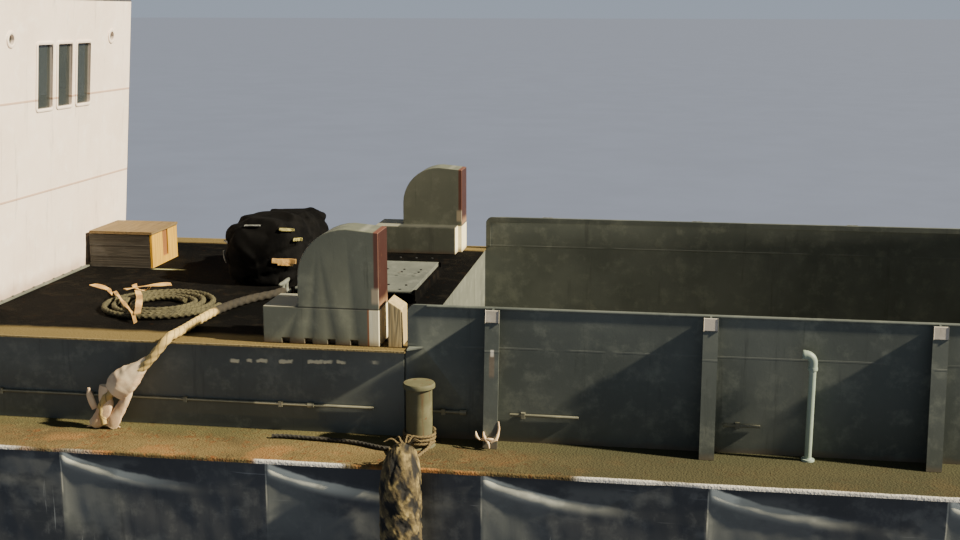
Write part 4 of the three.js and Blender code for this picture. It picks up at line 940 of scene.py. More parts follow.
def servedEye():
    shells = []
    for k, row in enumerate(eyeFolds.values()):
        shells.append(foldedTube(row["points"], row["radii"], row["folds"], seed=k + 3, flat=0.66,
                                 floor=1.5415))
    threads = [
        [(-5.02, -1.79, 1.57), (-5.00, -1.78, 1.556), (-4.965, -1.79, 1.549)],
        [(-5.13, -1.81, 1.565), (-5.15, -1.80, 1.553), (-5.172, -1.805, 1.548)],
        [(-5.09, -1.79, 1.575), (-5.085, -1.77, 1.555), (-5.06, -1.765, 1.547)],
    ]
    for thread in threads:
        path = throughPoints(thread, 0.006)
        shells.append(rod(path, np.linspace(0.011, 0.004, len(path)), 8))
    return piece("hawser_served_eye", shells, eyeCloth, replaces=["hawser_eye"], sharp=70)


def makeHawser(s):
    path = throughPoints(s["route"], 0.01)
    turned = laidRope(path, s["radius"], s["lay"], relief=0.5)
    rope = piece("hawser_rope", [turned], hawserFibre, replaces=["hawser"])
    eye = servedEye()


makeHawser(hawser)


# Flat coil beside the locker: one loose layer of turns that wander a little
coil = {"x": -5.055, "y": -0.85, "first": 0.164, "last": 0.402, "radius": 0.02, "lay": 0.13, "turns": 3.9}


def makeCoil(s):
    t = np.linspace(0, 1, 320)
    angle = 2 * np.pi * s["turns"] * t + 0.7
    r = s["first"] + (s["last"] - s["first"]) * t + 0.005 * np.sin(2.3 * angle) * np.sin(np.pi * t)
    z = engineDeckZ + s["radius"] + 0.002 + 0.004 * (1 - np.cos(1.7 * angle)) * np.sin(np.pi * t)
    spiral = np.stack([s["x"] + r * np.cos(angle), s["y"] + r * np.sin(angle), z], -1)
    path = spaced(spiral, 0.012)
    rope = piece("coiled_rope", [laidRope(path, s["radius"], s["lay"], 15)], coilFibre,
                 replaces=["rope_coil"])


makeCoil(coil)

# Loose tail of the fender lanyard, aft along the side deck
tail = {
    "radius": 0.0135,
    "lay": 0.085,
    "route": [
        (-3.238, -1.930, 1.5545), (-3.275, -1.925, 1.5545), (-3.330, -1.905, 1.5545),
        (-3.400, -1.875, 1.5545), (-3.480, -1.850, 1.5545), (-3.560, -1.836, 1.5545),
        (-3.650, -1.828, 1.5545), (-3.740, -1.822, 1.5545), (-3.830, -1.815, 1.5545),
        (-3.915, -1.812, 1.5545), (-3.985, -1.820, 1.5545),
    ],
}


def makeTail(s):
    path = throughPoints(s["route"], 0.008)
    rope = piece("deck_rope_tail", [laidRope(path, s["radius"], s["lay"], 15)], darkFibre,
                 replaces=["deck_rope"])


makeTail(tail)

# Webbing sling dropped over the coil: flat strips on the turns and on the deck
sling = {"thick": 0.006, "strips": [
    {"wide": 0.05, "points": [(-5.832, -0.273), (-5.743, -0.33), (-5.64, -0.418)]},
    {"wide": 0.022, "points": [(-5.64, -0.418), (-5.40, -0.79), (-5.122, -1.211), (-5.03, -1.34)]},
    {"wide": 0.036, "points": [(-5.513, -0.258), (-5.43, -0.40), (-5.301, -0.467)]},
    {"wide": 0.040, "points": [(-5.407, -0.649), (-5.33, -0.55), (-5.275, -0.50), (-5.16, -0.42)]},
    {"wide": 0.042, "points": [(-5.290, -0.70), (-5.20, -0.88), (-5.10, -1.12), (-5.03, -1.30)]},
]}


def makeSling(s):
    shells = []
    for k, strip in enumerate(s["strips"]):
        flat = np.array(strip["points"])
        path = throughPoints(np.column_stack([flat, np.zeros(len(flat))]), 0.012)
        reach = np.hypot(path[:, 0] - coil["x"], path[:, 1] - coil["y"])
        over = np.clip((0.50 - reach) / 0.07, 0, 1) * np.clip((reach - 0.07) / 0.06, 0, 1)
        path[:, 2] = engineDeckZ + 0.006 + 0.050 * over * over * (3 - 2 * over) + 0.004 * k
        way = np.gradient(path[:, :2], axis=0)
        way /= np.linalg.norm(way, axis=1)[:, None]
        side = np.column_stack([-way[:, 1], way[:, 0], 0 * way[:, 0]])
        across = np.linspace(-0.5, 0.5, 7)[None, :, None]
        crown = 0.006 * np.sin(lengthsAlong(path) * 17 + k)[:, None] * across[..., 0] * 2
        top = path[:, None] + side[:, None] * across * strip["wide"]
        top[..., 2] += crown
        low = top.copy()
        low[..., 2] -= s["thick"]
        shells.append(slabShell(top, low))
    piece("webbing_sling", shells, slingWeb)


makeSling(sling)
print("ropes")

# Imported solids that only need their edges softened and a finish
edgedSolids = [
    {"nodes": ["coaming_starboard", "coaming_port"], "finish": coamingPaint, "slot": "grey_paint",
     "bevel": 0.003},
    {"nodes": ["engine_trunk"], "finish": trunkPaint, "slot": "grey_paint", "bevel": 0.003},
    {"nodes": ["engine_deck"], "finish": engineDeckPaint, "slot": "grey_paint", "bevel": 0.003},
    {"nodes": ["well_bulkhead"], "finish": greyPaint, "slot": "grey_paint", "bevel": 0.003},
    {"nodes": ["winch_guard_starboard", "winch_guard_port"], "finish": guardPaint, "slot": "grey_paint",
     "bevel": 0.006},
    {"nodes": ["timber_block"], "finish": timberWood, "slot": "timber", "bevel": 0.006},
    {"nodes": ["rudder_starboard", "rudder_port"], "finish": hullPaint, "slot": "hull_paint",
     "bevel": 0.004},
    {"nodes": ["engine_hatch_lid_starboard", "engine_hatch_lid_port", "stern_hatch_lid"],
     "finish": greyPaint, "slot": "grey_paint", "bevel": 0.004},
    {"nodes": ["stern_deck", "well_deck"], "finish": deckPaint, "slot": "deck_paint", "bevel": 0.003},
    {"nodes": ["hull_midship", "hull_bow", "hull_stern"], "finish": hullPaint, "slot": "hull_paint",
     "bevel": 0.004},
    {"nodes": ["skeg_starboard", "skeg_port"], "finish": hullPaint, "slot": "hull_paint", "bevel": 0.006},
    {"nodes": ["ramp"], "finish": hullPaint, "slot": "hull_paint", "bevel": 0.004},
    {"nodes": ["bow_post_starboard", "bow_post_port"], "finish": greyPaint, "slot": "grey_paint",
     "bevel": 0.004},
    {"nodes": ["pilothouse"], "finish": palePaint, "slot": "pale_paint", "bevel": 0.006},
    {"nodes": ["pilothouse_roof"], "finish": greyPaint, "slot": "grey_paint", "bevel": 0.008},
    {"nodes": ["pilothouse_door"], "finish": greyPaint, "slot": "grey_paint", "bevel": 0.004},
    {"nodes": ["console"], "finish": greyPaint, "slot": "grey_paint", "bevel": 0.008},
    {"nodes": ["engine_starboard", "engine_port"], "finish": ironMetal, "slot": "engine_iron",
     "bevel": 0.02},
]
for row in edgedSolids:
    for node in row["nodes"]:
        softened(node, row["finish"], row["bevel"])
print("edged solids")


# Side plating: flat at the frames and dished between them, steepest beside a frame and under the deck edge
plating = {"frame": framePitch, "first": firstFrame, "aft": -8.548, "length": 16.1, "under": 0.014,
           "inside": 0.004, "dish": 0.018, "pocket": 0.016, "crest": 0.044, "proud": 0.004,
           "back": 0.0246, "columns": 900, "rows": 52}


def sidePlating(name, side, s):
    u = np.linspace(0, 1, s["columns"])[:, None] * np.ones((1, s["rows"]))
    v = np.ones((s["columns"], 1)) * np.linspace(0, 1, s["rows"]) ** 1.35
    straight = s["aft"] + u * s["length"]
    lean = np.clip((u - 0.9) / 0.1, 0, 1) ** 2
    x = straight
    for _ in range(6):
        head = line("deck", x) - s["under"]
        z = head - v * (head - line("bottom", x) - line("bilge", x))
        x = straight + lean * (bowFaceX(z) - s["inside"] - s["aft"] - s["length"])
    f = ((x - s["first"]) / s["frame"]) % 1
    bay = np.floor((x - s["first"]) / s["frame"])
    ahead = f * s["frame"]
    across = (1 - np.exp(-ahead / 0.05)) * (1 - f) ** 0.55 * 1.25
    down = (1 - (1 - v) ** 9) * (1 - v**5)
    depth = s["dish"] * (0.62 + 0.3 * np.sin(bay * 2.3 + side)) * across
    drop = line("deck", x) - z
    below = drop - ridgeLine["start"] - ridgeLine["fall"] * (1 - np.exp(-ridgeLine["rate"] * ahead))
    pocket = np.exp(-np.sqrt(below**2 + 0.0001) / np.where(below < 0, 0.05, 0.10))
    pocket *= (1 - np.exp(-ahead / 0.05)) * np.clip(1.05 - f, 0, 1)
    depth = depth + s["pocket"] * pocket
    dents = 0.0045 * waves(3 + side, x, z, (0.9, 0.45, 0.2)) + 0.002 * waves(8, x, z * 0.4, (0.16, 0.09))
    weld = 0.0025 * np.exp(-((np.minimum(f, 1 - f) * s["frame"] / 0.006) ** 2))
    inset = np.clip(depth * down - dents * down, 0.0, s["back"] - 0.002) - weld * down
    beam = line("beam", x)
    crest = s["crest"] * np.exp(-(((below - 0.045) / 0.040) ** 2)) * np.exp(-ahead / 0.36)
    inset = inset - crest * (1 - np.exp(-ahead / 0.012)) * np.clip((4.3 - x) / 0.3, 0, 1) * down
    outer = np.stack([x, side * (beam - s["proud"] - inset), z], -1)
    inner = np.stack([x, side * (beam - s["back"]), z], -1)
    outer[:, -1, 1] = inner[:, -1, 1] + side * 0.002
    piece("side_plating_" + name, [slabShell(outer, inner)], hullPaint)


# A bitt: a post with a weld at its foot and a wider, slightly domed cap
def bittShell(x, y, z):
    profile = [(0.03, -0.004), (0.096, 0), (0.088, 0.007), (0.0795, 0.013), (0.078, 0.04), (0.078, 0.343),
               (0.0815, 0.351), (0.091, 0.354), (0.0955, 0.359), (0.096, 0.368), (0.0955, 0.378),
               (0.090, 0.386), (0.05, 0.3895), (0.01, 0.390)]
    return lathe(profile, (x, y, z), sides=40)


# Side deck with a rolled, dented outer edge; the fore bitt stands on it
deckEdge = {"thick": 0.0115, "roll": 0.010, "flange": 0.024, "fore": (5.7, 1.87)}


def sideDeck(name, side, s):
    x = np.concatenate([np.linspace(-7.3, 4.2, 700), np.linspace(4.22, 7.6, 140)])
    beam, well, z = line("beam", x), line("well", x) + 0.0003, line("deck", x)
    dent = waves(21 + side, x, 0 * x, (2.1, 0.8, 0.31))
    knock = waves(31 + side, x, 0 * x, (0.9, 0.37)) - 0.5
    edge = beam + 0.006 + 0.006 * np.clip(dent, -1, 0.6) - 0.012 * np.clip(knock, 0, 1)
    drop = 0.004 * waves(41 + side, x, 0 * x, (1.3, 0.5)) - 0.003
    r = s["roll"]
    turn = np.linspace(np.pi / 2, 0, 5)
    lip = [(edge - r + r * np.cos(t), z - r + r * np.sin(t) + drop * (1 - t / np.pi)) for t in turn]
    low = (edge - s["thick"], z - s["thick"] + drop * 0.5)
    profile = [(well, z), (beam - 0.09, z), *lip, (edge, z - s["flange"]), (edge - 0.008, z - s["flange"]),
               low, (beam - 0.09, z - s["thick"]), (well, z - s["thick"])]
    rings = np.stack([np.stack([x + 0 * y, side * y, h], -1) for y, h in profile], 1)
    ends = rings[x > 6.8]
    blend = ((ends[:, :, 0] - 6.8) / 0.8) ** 2
    ends[:, :, 0] += blend * (bowFaceX(ends[:, :, 2]) - 0.002 - 7.6)
    rings[x > 6.8] = ends
    bx, by = s["fore"]
    shells = [ringShell(rings), bittShell(bx, side * by, line("deck", bx))]
    piece("side_deck_worn_" + name, shells, deckPaint, replaces=["side_deck_" + name])


# Bitt and vent pipe amidships; the pipe's elbow turns aft and ends in an open mouth
ventPipe = {"x": -0.83, "y": 1.722, "radius": 0.02, "top": 2.167, "bend": 0.046, "elbow": 0.025,
            "mouth": 0.012}


def sideFittings(name, side, s):
    bittX, bittY = bittSpot
    piece("bitt_turned_" + name, [bittShell(bittX, side * bittY, sideDeckZ)], bittPaint,
          replaces=["bitt_" + name])
    x, y, bend, top = s["x"], side * s["y"], s["bend"], s["top"]
    rise = [[x, y, z] for z in np.linspace(sideDeckZ + 0.001, top - bend - 0.02, 6)]
    angle = np.linspace(0, np.pi / 2, 12)
    neck = np.stack([x - bend + bend * np.cos(angle), y + 0 * angle, top - bend + bend * np.sin(angle)], -1)
    neck = np.concatenate([[[x, y, top - bend - 0.03]], neck])
    end = x - bend - s["mouth"]
    shells = [rod(spaced(np.array(rise), 0.02), s["radius"], 24), rod(neck, s["elbow"], 28)]
    shells.append(lathe([(0.015, 0), (0.038, 0), (0.038, 0.009), (0.036, 0.012), (0.024, 0.013),
                         (0.021, 0.02)],
                        (x, y, sideDeckZ)))
    shells.append(lathe([(0.0175, 0.014), (0.026, 0.014), (0.0265, 0.011), (0.0265, 0.001), (0.0255, -0.001),
                         (0.019, -0.001), (0.018, 0.002)], (end, y, top), "x", 28))
    shells.append(lathe([(0.021, -0.003), (0.027, -0.003), (0.0275, 0), (0.0275, 0.012), (0.027, 0.015),
                         (0.021, 0.015)],
                        (x, y, top - bend - 0.04)))
    piece("vent_pipe_bent_" + name, shells, pipePaint, replaces=["vent_pipe_" + name])


# Rope-bound fender: two sets of strands wound opposite ways, each over and under the other, along a line that
# hangs plumb and then leans in over the deck edge at its head
fender = {"x": -3.09, "y": 2.314, "radius": 0.124, "end": 0.08, "winds": 5, "lay": 0.20,
          "route": [(0, 0.690), (0, 1.0), (0, 1.30), (-0.004, 1.46), (-0.026, 1.565), (-0.075, 1.618),
                    (-0.150, 1.632)],
          "radii": [(0, 1), (0.78, 1), (0.86, 0.92), (0.94, 0.74), (1, 0.50)]}


def makeFender(name, side, s):
    route = [(s["x"], side * (s["y"] + inward), z) for inward, z in s["route"]]
    path = throughPoints(route, 0.0042)
    a, b = framesAlong(path)
    z = lengthsAlong(path)[:, None]
    angle = np.linspace(0, 2 * np.pi, 120, endpoint=False)[None]
    whole = z[-1]
    near = np.minimum(z, whole - z)
    wide = s["radius"] * np.interp(z / whole, *np.array(s["radii"]).T)
    cap = np.sqrt(np.maximum(s["end"]**2 - (s["end"] - near)**2, 1e-5))
    tip = wide - s["end"] * wide / s["radius"] + cap * wide / s["radius"]
    core = np.where(near < s["end"], tip, wide)
    right = s["winds"] * angle + 2 * np.pi * z / s["lay"]
    left = s["winds"] * angle - 2 * np.pi * z / s["lay"]
    over = 0.5 + 0.5 * np.sin(right) * np.sin(left)
    strandA = np.sqrt(np.abs(np.cos(right / 2 + 0.4))) * (0.55 + 0.45 * over)
    strandB = np.sqrt(np.abs(np.cos(left / 2))) * (1 - 0.45 * over)
    plait = np.maximum(strandA, strandB)
    fray = waves(51, z, angle * 0.11, (0.12, 0.05, 0.02))
    yarns = 0.5 + 0.5 * np.sin(5 * right + 2 * fray)
    r = core * (0.80 + 0.17 * plait + 0.014 * yarns * plait + 0.016 * fray)
    ring = np.cos(angle)[..., None] * a[:, None] + np.sin(angle)[..., None] * b[:, None]
    proud = np.clip(0.85 * plait + 0.12 * fray + 0.1 * yarns, 0, 1)
    shell = ringShell(path[:, None] + r[..., None] * ring, value=proud)
    piece("fender_bound_" + name, [shell], fenderFibre, replaces=["fender_" + name], sharp=80)


# Lashings from the fender's head over the deck edge and round the foot of the bitt
lashing = {"radius": 0.011, "lay": 0.075, "bitt": bittSpot, "round": 0.090, "turns": 3, "pitch": 0.022}


def makeLashing(name, side, s):
    x, y = s["bitt"]
    rope = {"radius": s["radius"], "lay": s["lay"], "sides": 12}
    routes = [
        [(-3.09, 2.20, 1.632), (-3.080, 2.13, 1.632), (-3.068, 2.08, 1.600), (-3.05, 2.03, 1.5555),
         (-3.035, 1.97, 1.5525), (-3.01, 1.90, 1.562), (-3.005, 1.85, 1.580)],
        [(-3.09, 2.20, 1.628), (-3.105, 2.13, 1.622), (-3.12, 2.07, 1.590), (-3.13, 2.02, 1.5550),
         (-3.14, 1.97, 1.5525), (-3.155, 1.90, 1.562), (-3.165, 1.84, 1.578)],
        [(-3.10, 2.21, 1.620), (-3.135, 2.15, 1.610), (-3.165, 2.09, 1.575), (-3.19, 2.04, 1.5540),
         (-3.215, 1.99, 1.5525), (-3.234, 1.94, 1.5535)],
    ]
    shells = [laidRope(throughPoints([(px, side * py, pz) for px, py, pz in route], 0.007), **rope)
              for route in routes]
    turn = np.linspace(0, 2 * np.pi * s["turns"], 60 * s["turns"])
    ring = np.stack([x + s["round"] * np.cos(turn), side * (y + s["round"] * np.sin(turn)),
                     1.568 + s["pitch"] * turn / (2 * np.pi)], -1)
    shells.append(laidRope(ring, **rope))
    for dx, dy in [(-0.03, 0.02), (0.005, -0.01), (0.03, 0.015), (0.0, 0.035), (-0.015, 0.0), (0.02, -0.012)]:
        strand = [(fender["x"] + dx, side * (2.20 + dy), 1.69),
                  (fender["x"] + 2.2 * dx, side * (2.19 + 2 * dy), 1.722),
                  (fender["x"] + 3.6 * dx, side * (2.18 + 3 * dy), 1.706)]
        path = throughPoints(strand, 0.006)
        shells.append(rod(path, np.linspace(0.008, 0.003, len(path)), 8))
    piece("fender_lashing_" + name, shells, lashingFibre)


for name, side in sides.items():
    sidePlating(name, side, plating)
    sideDeck(name, side, deckEdge)
    sideFittings(name, side, ventPipe)
    makeFender(name, side, fender)
    makeLashing(name, side, lashing)
print("sides")


# Coaming trim: a half-round along the top, a pad at the head of each stay, and the conduit
trim = {"bead": 0.010, "first": firstFrame, "pitch": framePitch, "count": 8, "foot": 0.15, "head": 0.06,
        "pad": 0.040, "padHigh": 0.072, "proud": 0.006, "pipe": 0.009, "pipeZ": 1.712, "pipeOff": 0.014,
        "clip": 0.61, "runs": [(-7.1, -3.39), (-3.04, -2.84), (-2.56, -2.15), (-1.31, -1.10)]}


def coamingTrim(name, side, s):
    x = np.linspace(-3.06, 7.9, 260)
    edge = np.stack([x, side * (line("well", x) - 0.001), line("rail", x) - 0.007], -1)
    shells = [rod(edge, s["bead"], 10)]
    for x in s["first"] + s["pitch"] * np.arange(s["count"]):
        head, foot = line("rail", x) - 0.003, line("deck", x) + 0.002
        yHead, yFoot = line("well", x) + s["head"], line("well", x) + s["foot"]
        low = head - s["padHigh"]
        yLow = yHead + (yFoot - yHead) * (head - low) / (head - foot)
        outline = [(side * (yHead - 0.002), head), (side * (yHead + s["proud"]), head),
                   (side * (yLow + s["proud"]), low), (side * (yLow - 0.002), low)]
        shells.append(prism(outline, "x", x - s["pad"], x + s["pad"]))
    piece("coaming_edge_" + name, shells[:1], coamingPaint)
    piece("stay_pads_" + name, shells[1:], padPaint, bevel=0.003)
    y, z, pipes = side * (wellHalf + s["pipeOff"]), s["pipeZ"], []
    for start, end in s["runs"]:
        pipes.append(bar((start, y, z), (end, y, z), s["pipe"], 12))
        spots = np.arange(start + 0.08, end, s["clip"])
        pipes += [block((c - 0.012, c + 0.012), (side * (wellHalf - 0.002), y + side * 0.011),
                        (z - 0.016, z + 0.016))
                  for c in spots]
    pipes += [lathe([(0.010, -0.022), (0.016, -0.020), (0.016, 0.020), (0.010, 0.022)], (c, y, z), "x", 14)
              for c in (-3.78, -2.84, -5.2)]
    piece("side_conduit_" + name, pipes, conduitPaint, bevel=0.002)


# Rags tied round the foot of the first stay
tie = [
    {"points": [(-2.745, -1.80, 1.640), (-2.735, -1.825, 1.618), (-2.715, -1.83, 1.600)],
     "radii": [0.004, 0.010, 0.005]},
    {"points": [(-2.70, -1.80, 1.640), (-2.69, -1.825, 1.615), (-2.665, -1.84, 1.585),
                (-2.66, -1.84, 1.556)],
     "radii": [0.005, 0.011, 0.009, 0.005]},
    {"points": [(-2.612, -1.79, 1.705), (-2.608, -1.80, 1.66), (-2.62, -1.83, 1.612),
                (-2.65, -1.835, 1.590)],
     "radii": [0.004, 0.008, 0.010, 0.008]},
    {"points": [(-2.71, -1.822, 1.600), (-2.66, -1.834, 1.608), (-2.612, -1.822, 1.600)],
     "radii": [0.007, 0.010, 0.007]},
]


def makeTie(rows):
    shells = [foldedTube(row["points"], row["radii"], 3, seed=k + 20, flat=1, sides=18) for k,
              row in enumerate(rows)]
    piece("stay_tie", shells, eyeCloth, sharp=70)


for name, side in sides.items():
    coamingTrim(name, side, trim)
makeTie(tie)
print("coaming trim")

# Locker of planks: a front with a hand slot, dark sides, and a lid of boards
locker = {"x": (-6.160, -5.640), "y": (0.390, 0.900), "z": (2.091, 2.350), "board": 0.020, "gap": 0.002,
          "slot": (0.600, 0.705), "sill": 0.055, "back": 0.011, "lid": (2.355, 2.375), "lap": 0.008}


def makeLocker(s):
    (x0, x1), (y0, y1), (z0, z1), t, g = s["x"], s["y"], s["z"], s["board"], s["gap"]
    a, b = s["slot"]
    fronts = [(y0, 0.495), (0.495, a), (b, y1)]
    front = [block((x1 - t, x1), (low + g / 2, high - g / 2), (z0, z1)) for low, high in fronts]
    front.append(block((x1 - t, x1), (a + g / 2, b - g / 2), (z0, z0 + s["sill"])))
    rows = np.linspace(z0, z1, 4)
    walls = []
    for low, high in zip(rows[:-1], rows[1:]):
        walls += [block((x0, x1 - t - g), ys, (low, high - g)) for ys in ((y0, y0 + t), (y1 - t, y1))]
        walls.append(block((x0, x0 + t), (y0 + t, y1 - t), (low, high - g)))
    walls.append(block((x0 + t, x1 - t), (y0 + t, y1 - t), (z0, z0 + t)))
    inner = [block((x1 - t - 0.012, x1 - s["back"]), (a - 0.01, b + 0.01), (z0 + s["sill"], z1))]
    piece("locker_boards", walls, shadeWood, replaces=["locker"], bevel=0.002)
    piece("locker_front", front, frontWood, bevel=0.002)
    piece("locker_slot_board", inner, slotWood, bevel=0.002)
    lap = s["lap"]
    edges = np.linspace(x0 + 0.006, x1 + 0.006, 6)
    lid = [block((low + g / 2, high - g / 2), (y0 - lap, y1 + lap), s["lid"]) for low,
           high in zip(edges[:-1], edges[1:])]
    nails = boltHeads([((low + high) / 2 + off, y, s["lid"][1]) for low, high in zip(edges[:-1], edges[1:])
                       for off in (-0.03, 0.03) for y in (y0 + 0.02, y1 - 0.02)], radius=0.004, high=0.0015)
    battens = [block((x0 + 0.04, x1 - 0.04), (y, y + 0.03), (s["lid"][0] - 0.003, s["lid"][0] + 0.004))
               for y in (y0 + 0.06, y1 - 0.09)]
    piece("locker_lid_boards", lid + battens + nails, lidWood, body="locker_lid",
          replaces=["locker_lid"], bevel=0.002)


makeLocker(locker)

# Pilothouse openings: raised frames, glass, and the fittings round them
house = {"aft": -7.25, "fore": (-6.207, 2.0903), "foreTop": (-6.030, 4.2), "half": 1.135, "wall": 0.04,
         "pane": (3.605, 0.225), "foreY": (-0.3, 0, 0.3), "foreHalf": 0.11, "sideX": (-6.92, -6.46),
         "sideHalf": 0.165, "port": (0.775, 3.874, 0.035), "frame": 0.022, "proud": 0.010, "glass": 0.006,
         "doorX": -7.288, "doorPane": (0.15, 3.525, 0.175)}


def houseFront(z):
    (x0, z0), (x1, z1) = house["fore"], house["foreTop"]
    return x0 + (x1 - x0) * (z - z0) / (z1 - z0)


def glassPane(halfA, halfB, corner, thick, place):
    loop = roundedLoop(halfA, halfB, corner, 4 if corner < halfA else 9)[0]
    ends = [place(loop[:, 0], loop[:, 1], n + 0 * loop[:, 0]) for n in (-thick / 2, thick / 2)]
    return ringShell(np.stack(ends))


def makeWindows(s):
    frames, panes = [], []
    middle, halfZ = s["pane"]
    deep = -s["wall"] / 2

    def opening(halfA, halfB, corner, place):
        frames.append(frameHoop(halfA, halfB, corner, s["frame"], s["proud"], place))
        inner = lambda a, b, n: place(a, b, n + deep)
        panes.append(glassPane(halfA + 0.002, halfB + 0.002, corner, s["glass"], inner))

    for y in s["foreY"]:
        opening(s["foreHalf"], halfZ, 0.012, lambda a, b, n,
                y=y: np.stack([houseFront(middle + b) + n, y + a, middle + b], -1))
    portY, portZ, portR = s["port"]
    for y in (-portY, portY):
        opening(portR, portR, portR, lambda a, b, n,
                y=y: np.stack([houseFront(portZ + b) + n, y + a, portZ + b], -1))
    for side in sides.values():
        for x in s["sideX"]:
            place = lambda a, b, n, x=x, side=side: np.stack([x + a, side * (s["half"] + n), middle + b], -1)
            opening(s["sideHalf"], halfZ, 0.012, place)
    piece("pilothouse_window_frames", frames, palePaint)
    piece("pilothouse_panes", panes, windowGlass)
    half, doorZ, doorHalfZ = s["doorPane"]
    place = lambda a, b, n: np.stack([s["doorX"] - n, a, doorZ + b], -1)
    inner = lambda a, b, n: np.stack([s["doorX"] + 0.015 - n, a, doorZ + b], -1)
    piece("door_window_frame", [frameHoop(half, doorHalfZ, 0.012, 0.022, 0.008, place)], greyPaint,
          body="pilothouse_door")
    piece("door_pane", [glassPane(half + 0.002, doorHalfZ + 0.002, 0.012, 0.006, inner)], windowGlass,
          body="pilothouse_door")


makeWindows(house)

# Hand rails, side lamps on their boards, a drip strip and bolts round the pilothouse
houseFittings = {"rail": {"x": (-7.12, -6.36), "z": 3.02, "off": 0.055, "radius": 0.013, "posts": 3},
                 "lamp": {"x": -6.62, "z": 3.98, "board": 0.17, "high": 0.14}, "strip": 0.016}


def makeHouseFittings(s):
    rail, lamp, half = s["rail"], s["lamp"], house["half"]
    rails, boards = [], []
    for name, side in sides.items():
        x0, x1 = rail["x"]
        y = side * (half + rail["off"])
        rails.append(bar((x0, y, rail["z"]), (x1, y, rail["z"]), rail["radius"], 16))
        for x in np.linspace(x0 + 0.03, x1 - 0.03, rail["posts"]):
            rails.append(rod([(x, side * (half - 0.002), rail["z"]), (x, y, rail["z"])], 0.010, 12))
            pad = [(r, side * h) for r, h in ((0.026, -0.001), (0.026, 0.005), (0.020, 0.009),
                                              (0.010, 0.010))]
            rails.append(lathe(pad[::-side], (x, side * half, rail["z"]), "y", 16))
        x, z, deep = lamp["x"], lamp["z"], lamp["board"]
        ys = (side * (half - 0.002), side * (half + 0.11))
        boards.append(block((x - deep, x + deep), ys, (z - 0.078, z - 0.072)))
        boards.append(block((x - deep, x + deep), (side * (half - 0.002), side * (half + 0.006)),
                            (z - 0.075, z + 0.07)))
        boards.append(block((x - deep, x - deep + 0.006), ys, (z - 0.075, z + 0.07)))
        centre = (x - 0.05, side * (half + 0.06), z)
        boards.append(lathe([(0.040, -0.073), (0.042, -0.068), (0.042, -0.052), (0.036, -0.046),
                             (0.012, -0.045)], centre))
        boards.append(lathe([(0.012, 0.048), (0.036, 0.049), (0.042, 0.055), (0.040, 0.068),
                             (0.016, 0.082), (0.005, 0.084)],
                            centre))
        lens = lathe([(0.012, -0.046), (0.033, -0.046), (0.036, -0.03), (0.036, 0.034), (0.033, 0.05),
                      (0.012, 0.05)], centre)
        piece("side_lamp_lens_" + name, [lens], redLamp if side > 0 else greenLamp)
    piece("pilothouse_hand_rails", rails, greyPaint)
    piece("side_lamp_boards", boards, greyPaint, bevel=0.002)
    eave, zRoof, strips = 0.052, 4.198, []
    x0, x1 = house["aft"] - eave, house["foreTop"][0] + eave
    w = s["strip"]
    loop, out = roundedLoop((x1 - x0) / 2, half + eave, 0.02)
    ring = np.array([(0, 0), (0.004, 0), (0.004, -w), (0, -w)])
    grid = np.zeros((len(loop), 4, 3))
    grid[..., :2] = loop[:, None] + out[:, None] * ring[None, :, :1] + ((x0 + x1) / 2, 0)
    grid[..., 2] = zRoof + 0.004 + ring[None, :, 1]
    strips.append(hoopShell(grid))
    bolts = []
    wide = half + 0.04
    floor, top = engineDeckZ + 0.0005, engineDeckZ + 0.008
    for side in sides.values():
        strips.append(block((house["aft"] - 0.002, -6.21), (side * half, side * wide), (floor, top)))
        bolts += [(x, side * (half + 0.022), top) for x in np.arange(-7.18, -6.24, 0.155)]
    strips.append(block((-6.212, -6.168), (-wide, wide), (floor, top + 0.0005)))
    bolts += [(-6.19, y, top + 0.0005) for y in np.arange(-1.05, 1.1, 0.15)]
    strips += boltHeads(bolts, radius=0.012, high=0.009)
    piece("pilothouse_trim", strips, greyPaint)


makeHouseFittings(houseFittings)
print("pilothouse fittings")

# Mast, its yard and lamp, and the searchlight in its yoke
mast = {"x": -6.95, "foot": 4.241, "top": 5.2, "radius": 0.032, "yardZ": 4.85, "yard": 0.42}
searchlight = {"x": -6.29, "foot": 4.241, "z": 4.481, "radius": 0.13, "aft": -6.37, "fore": -6.18}


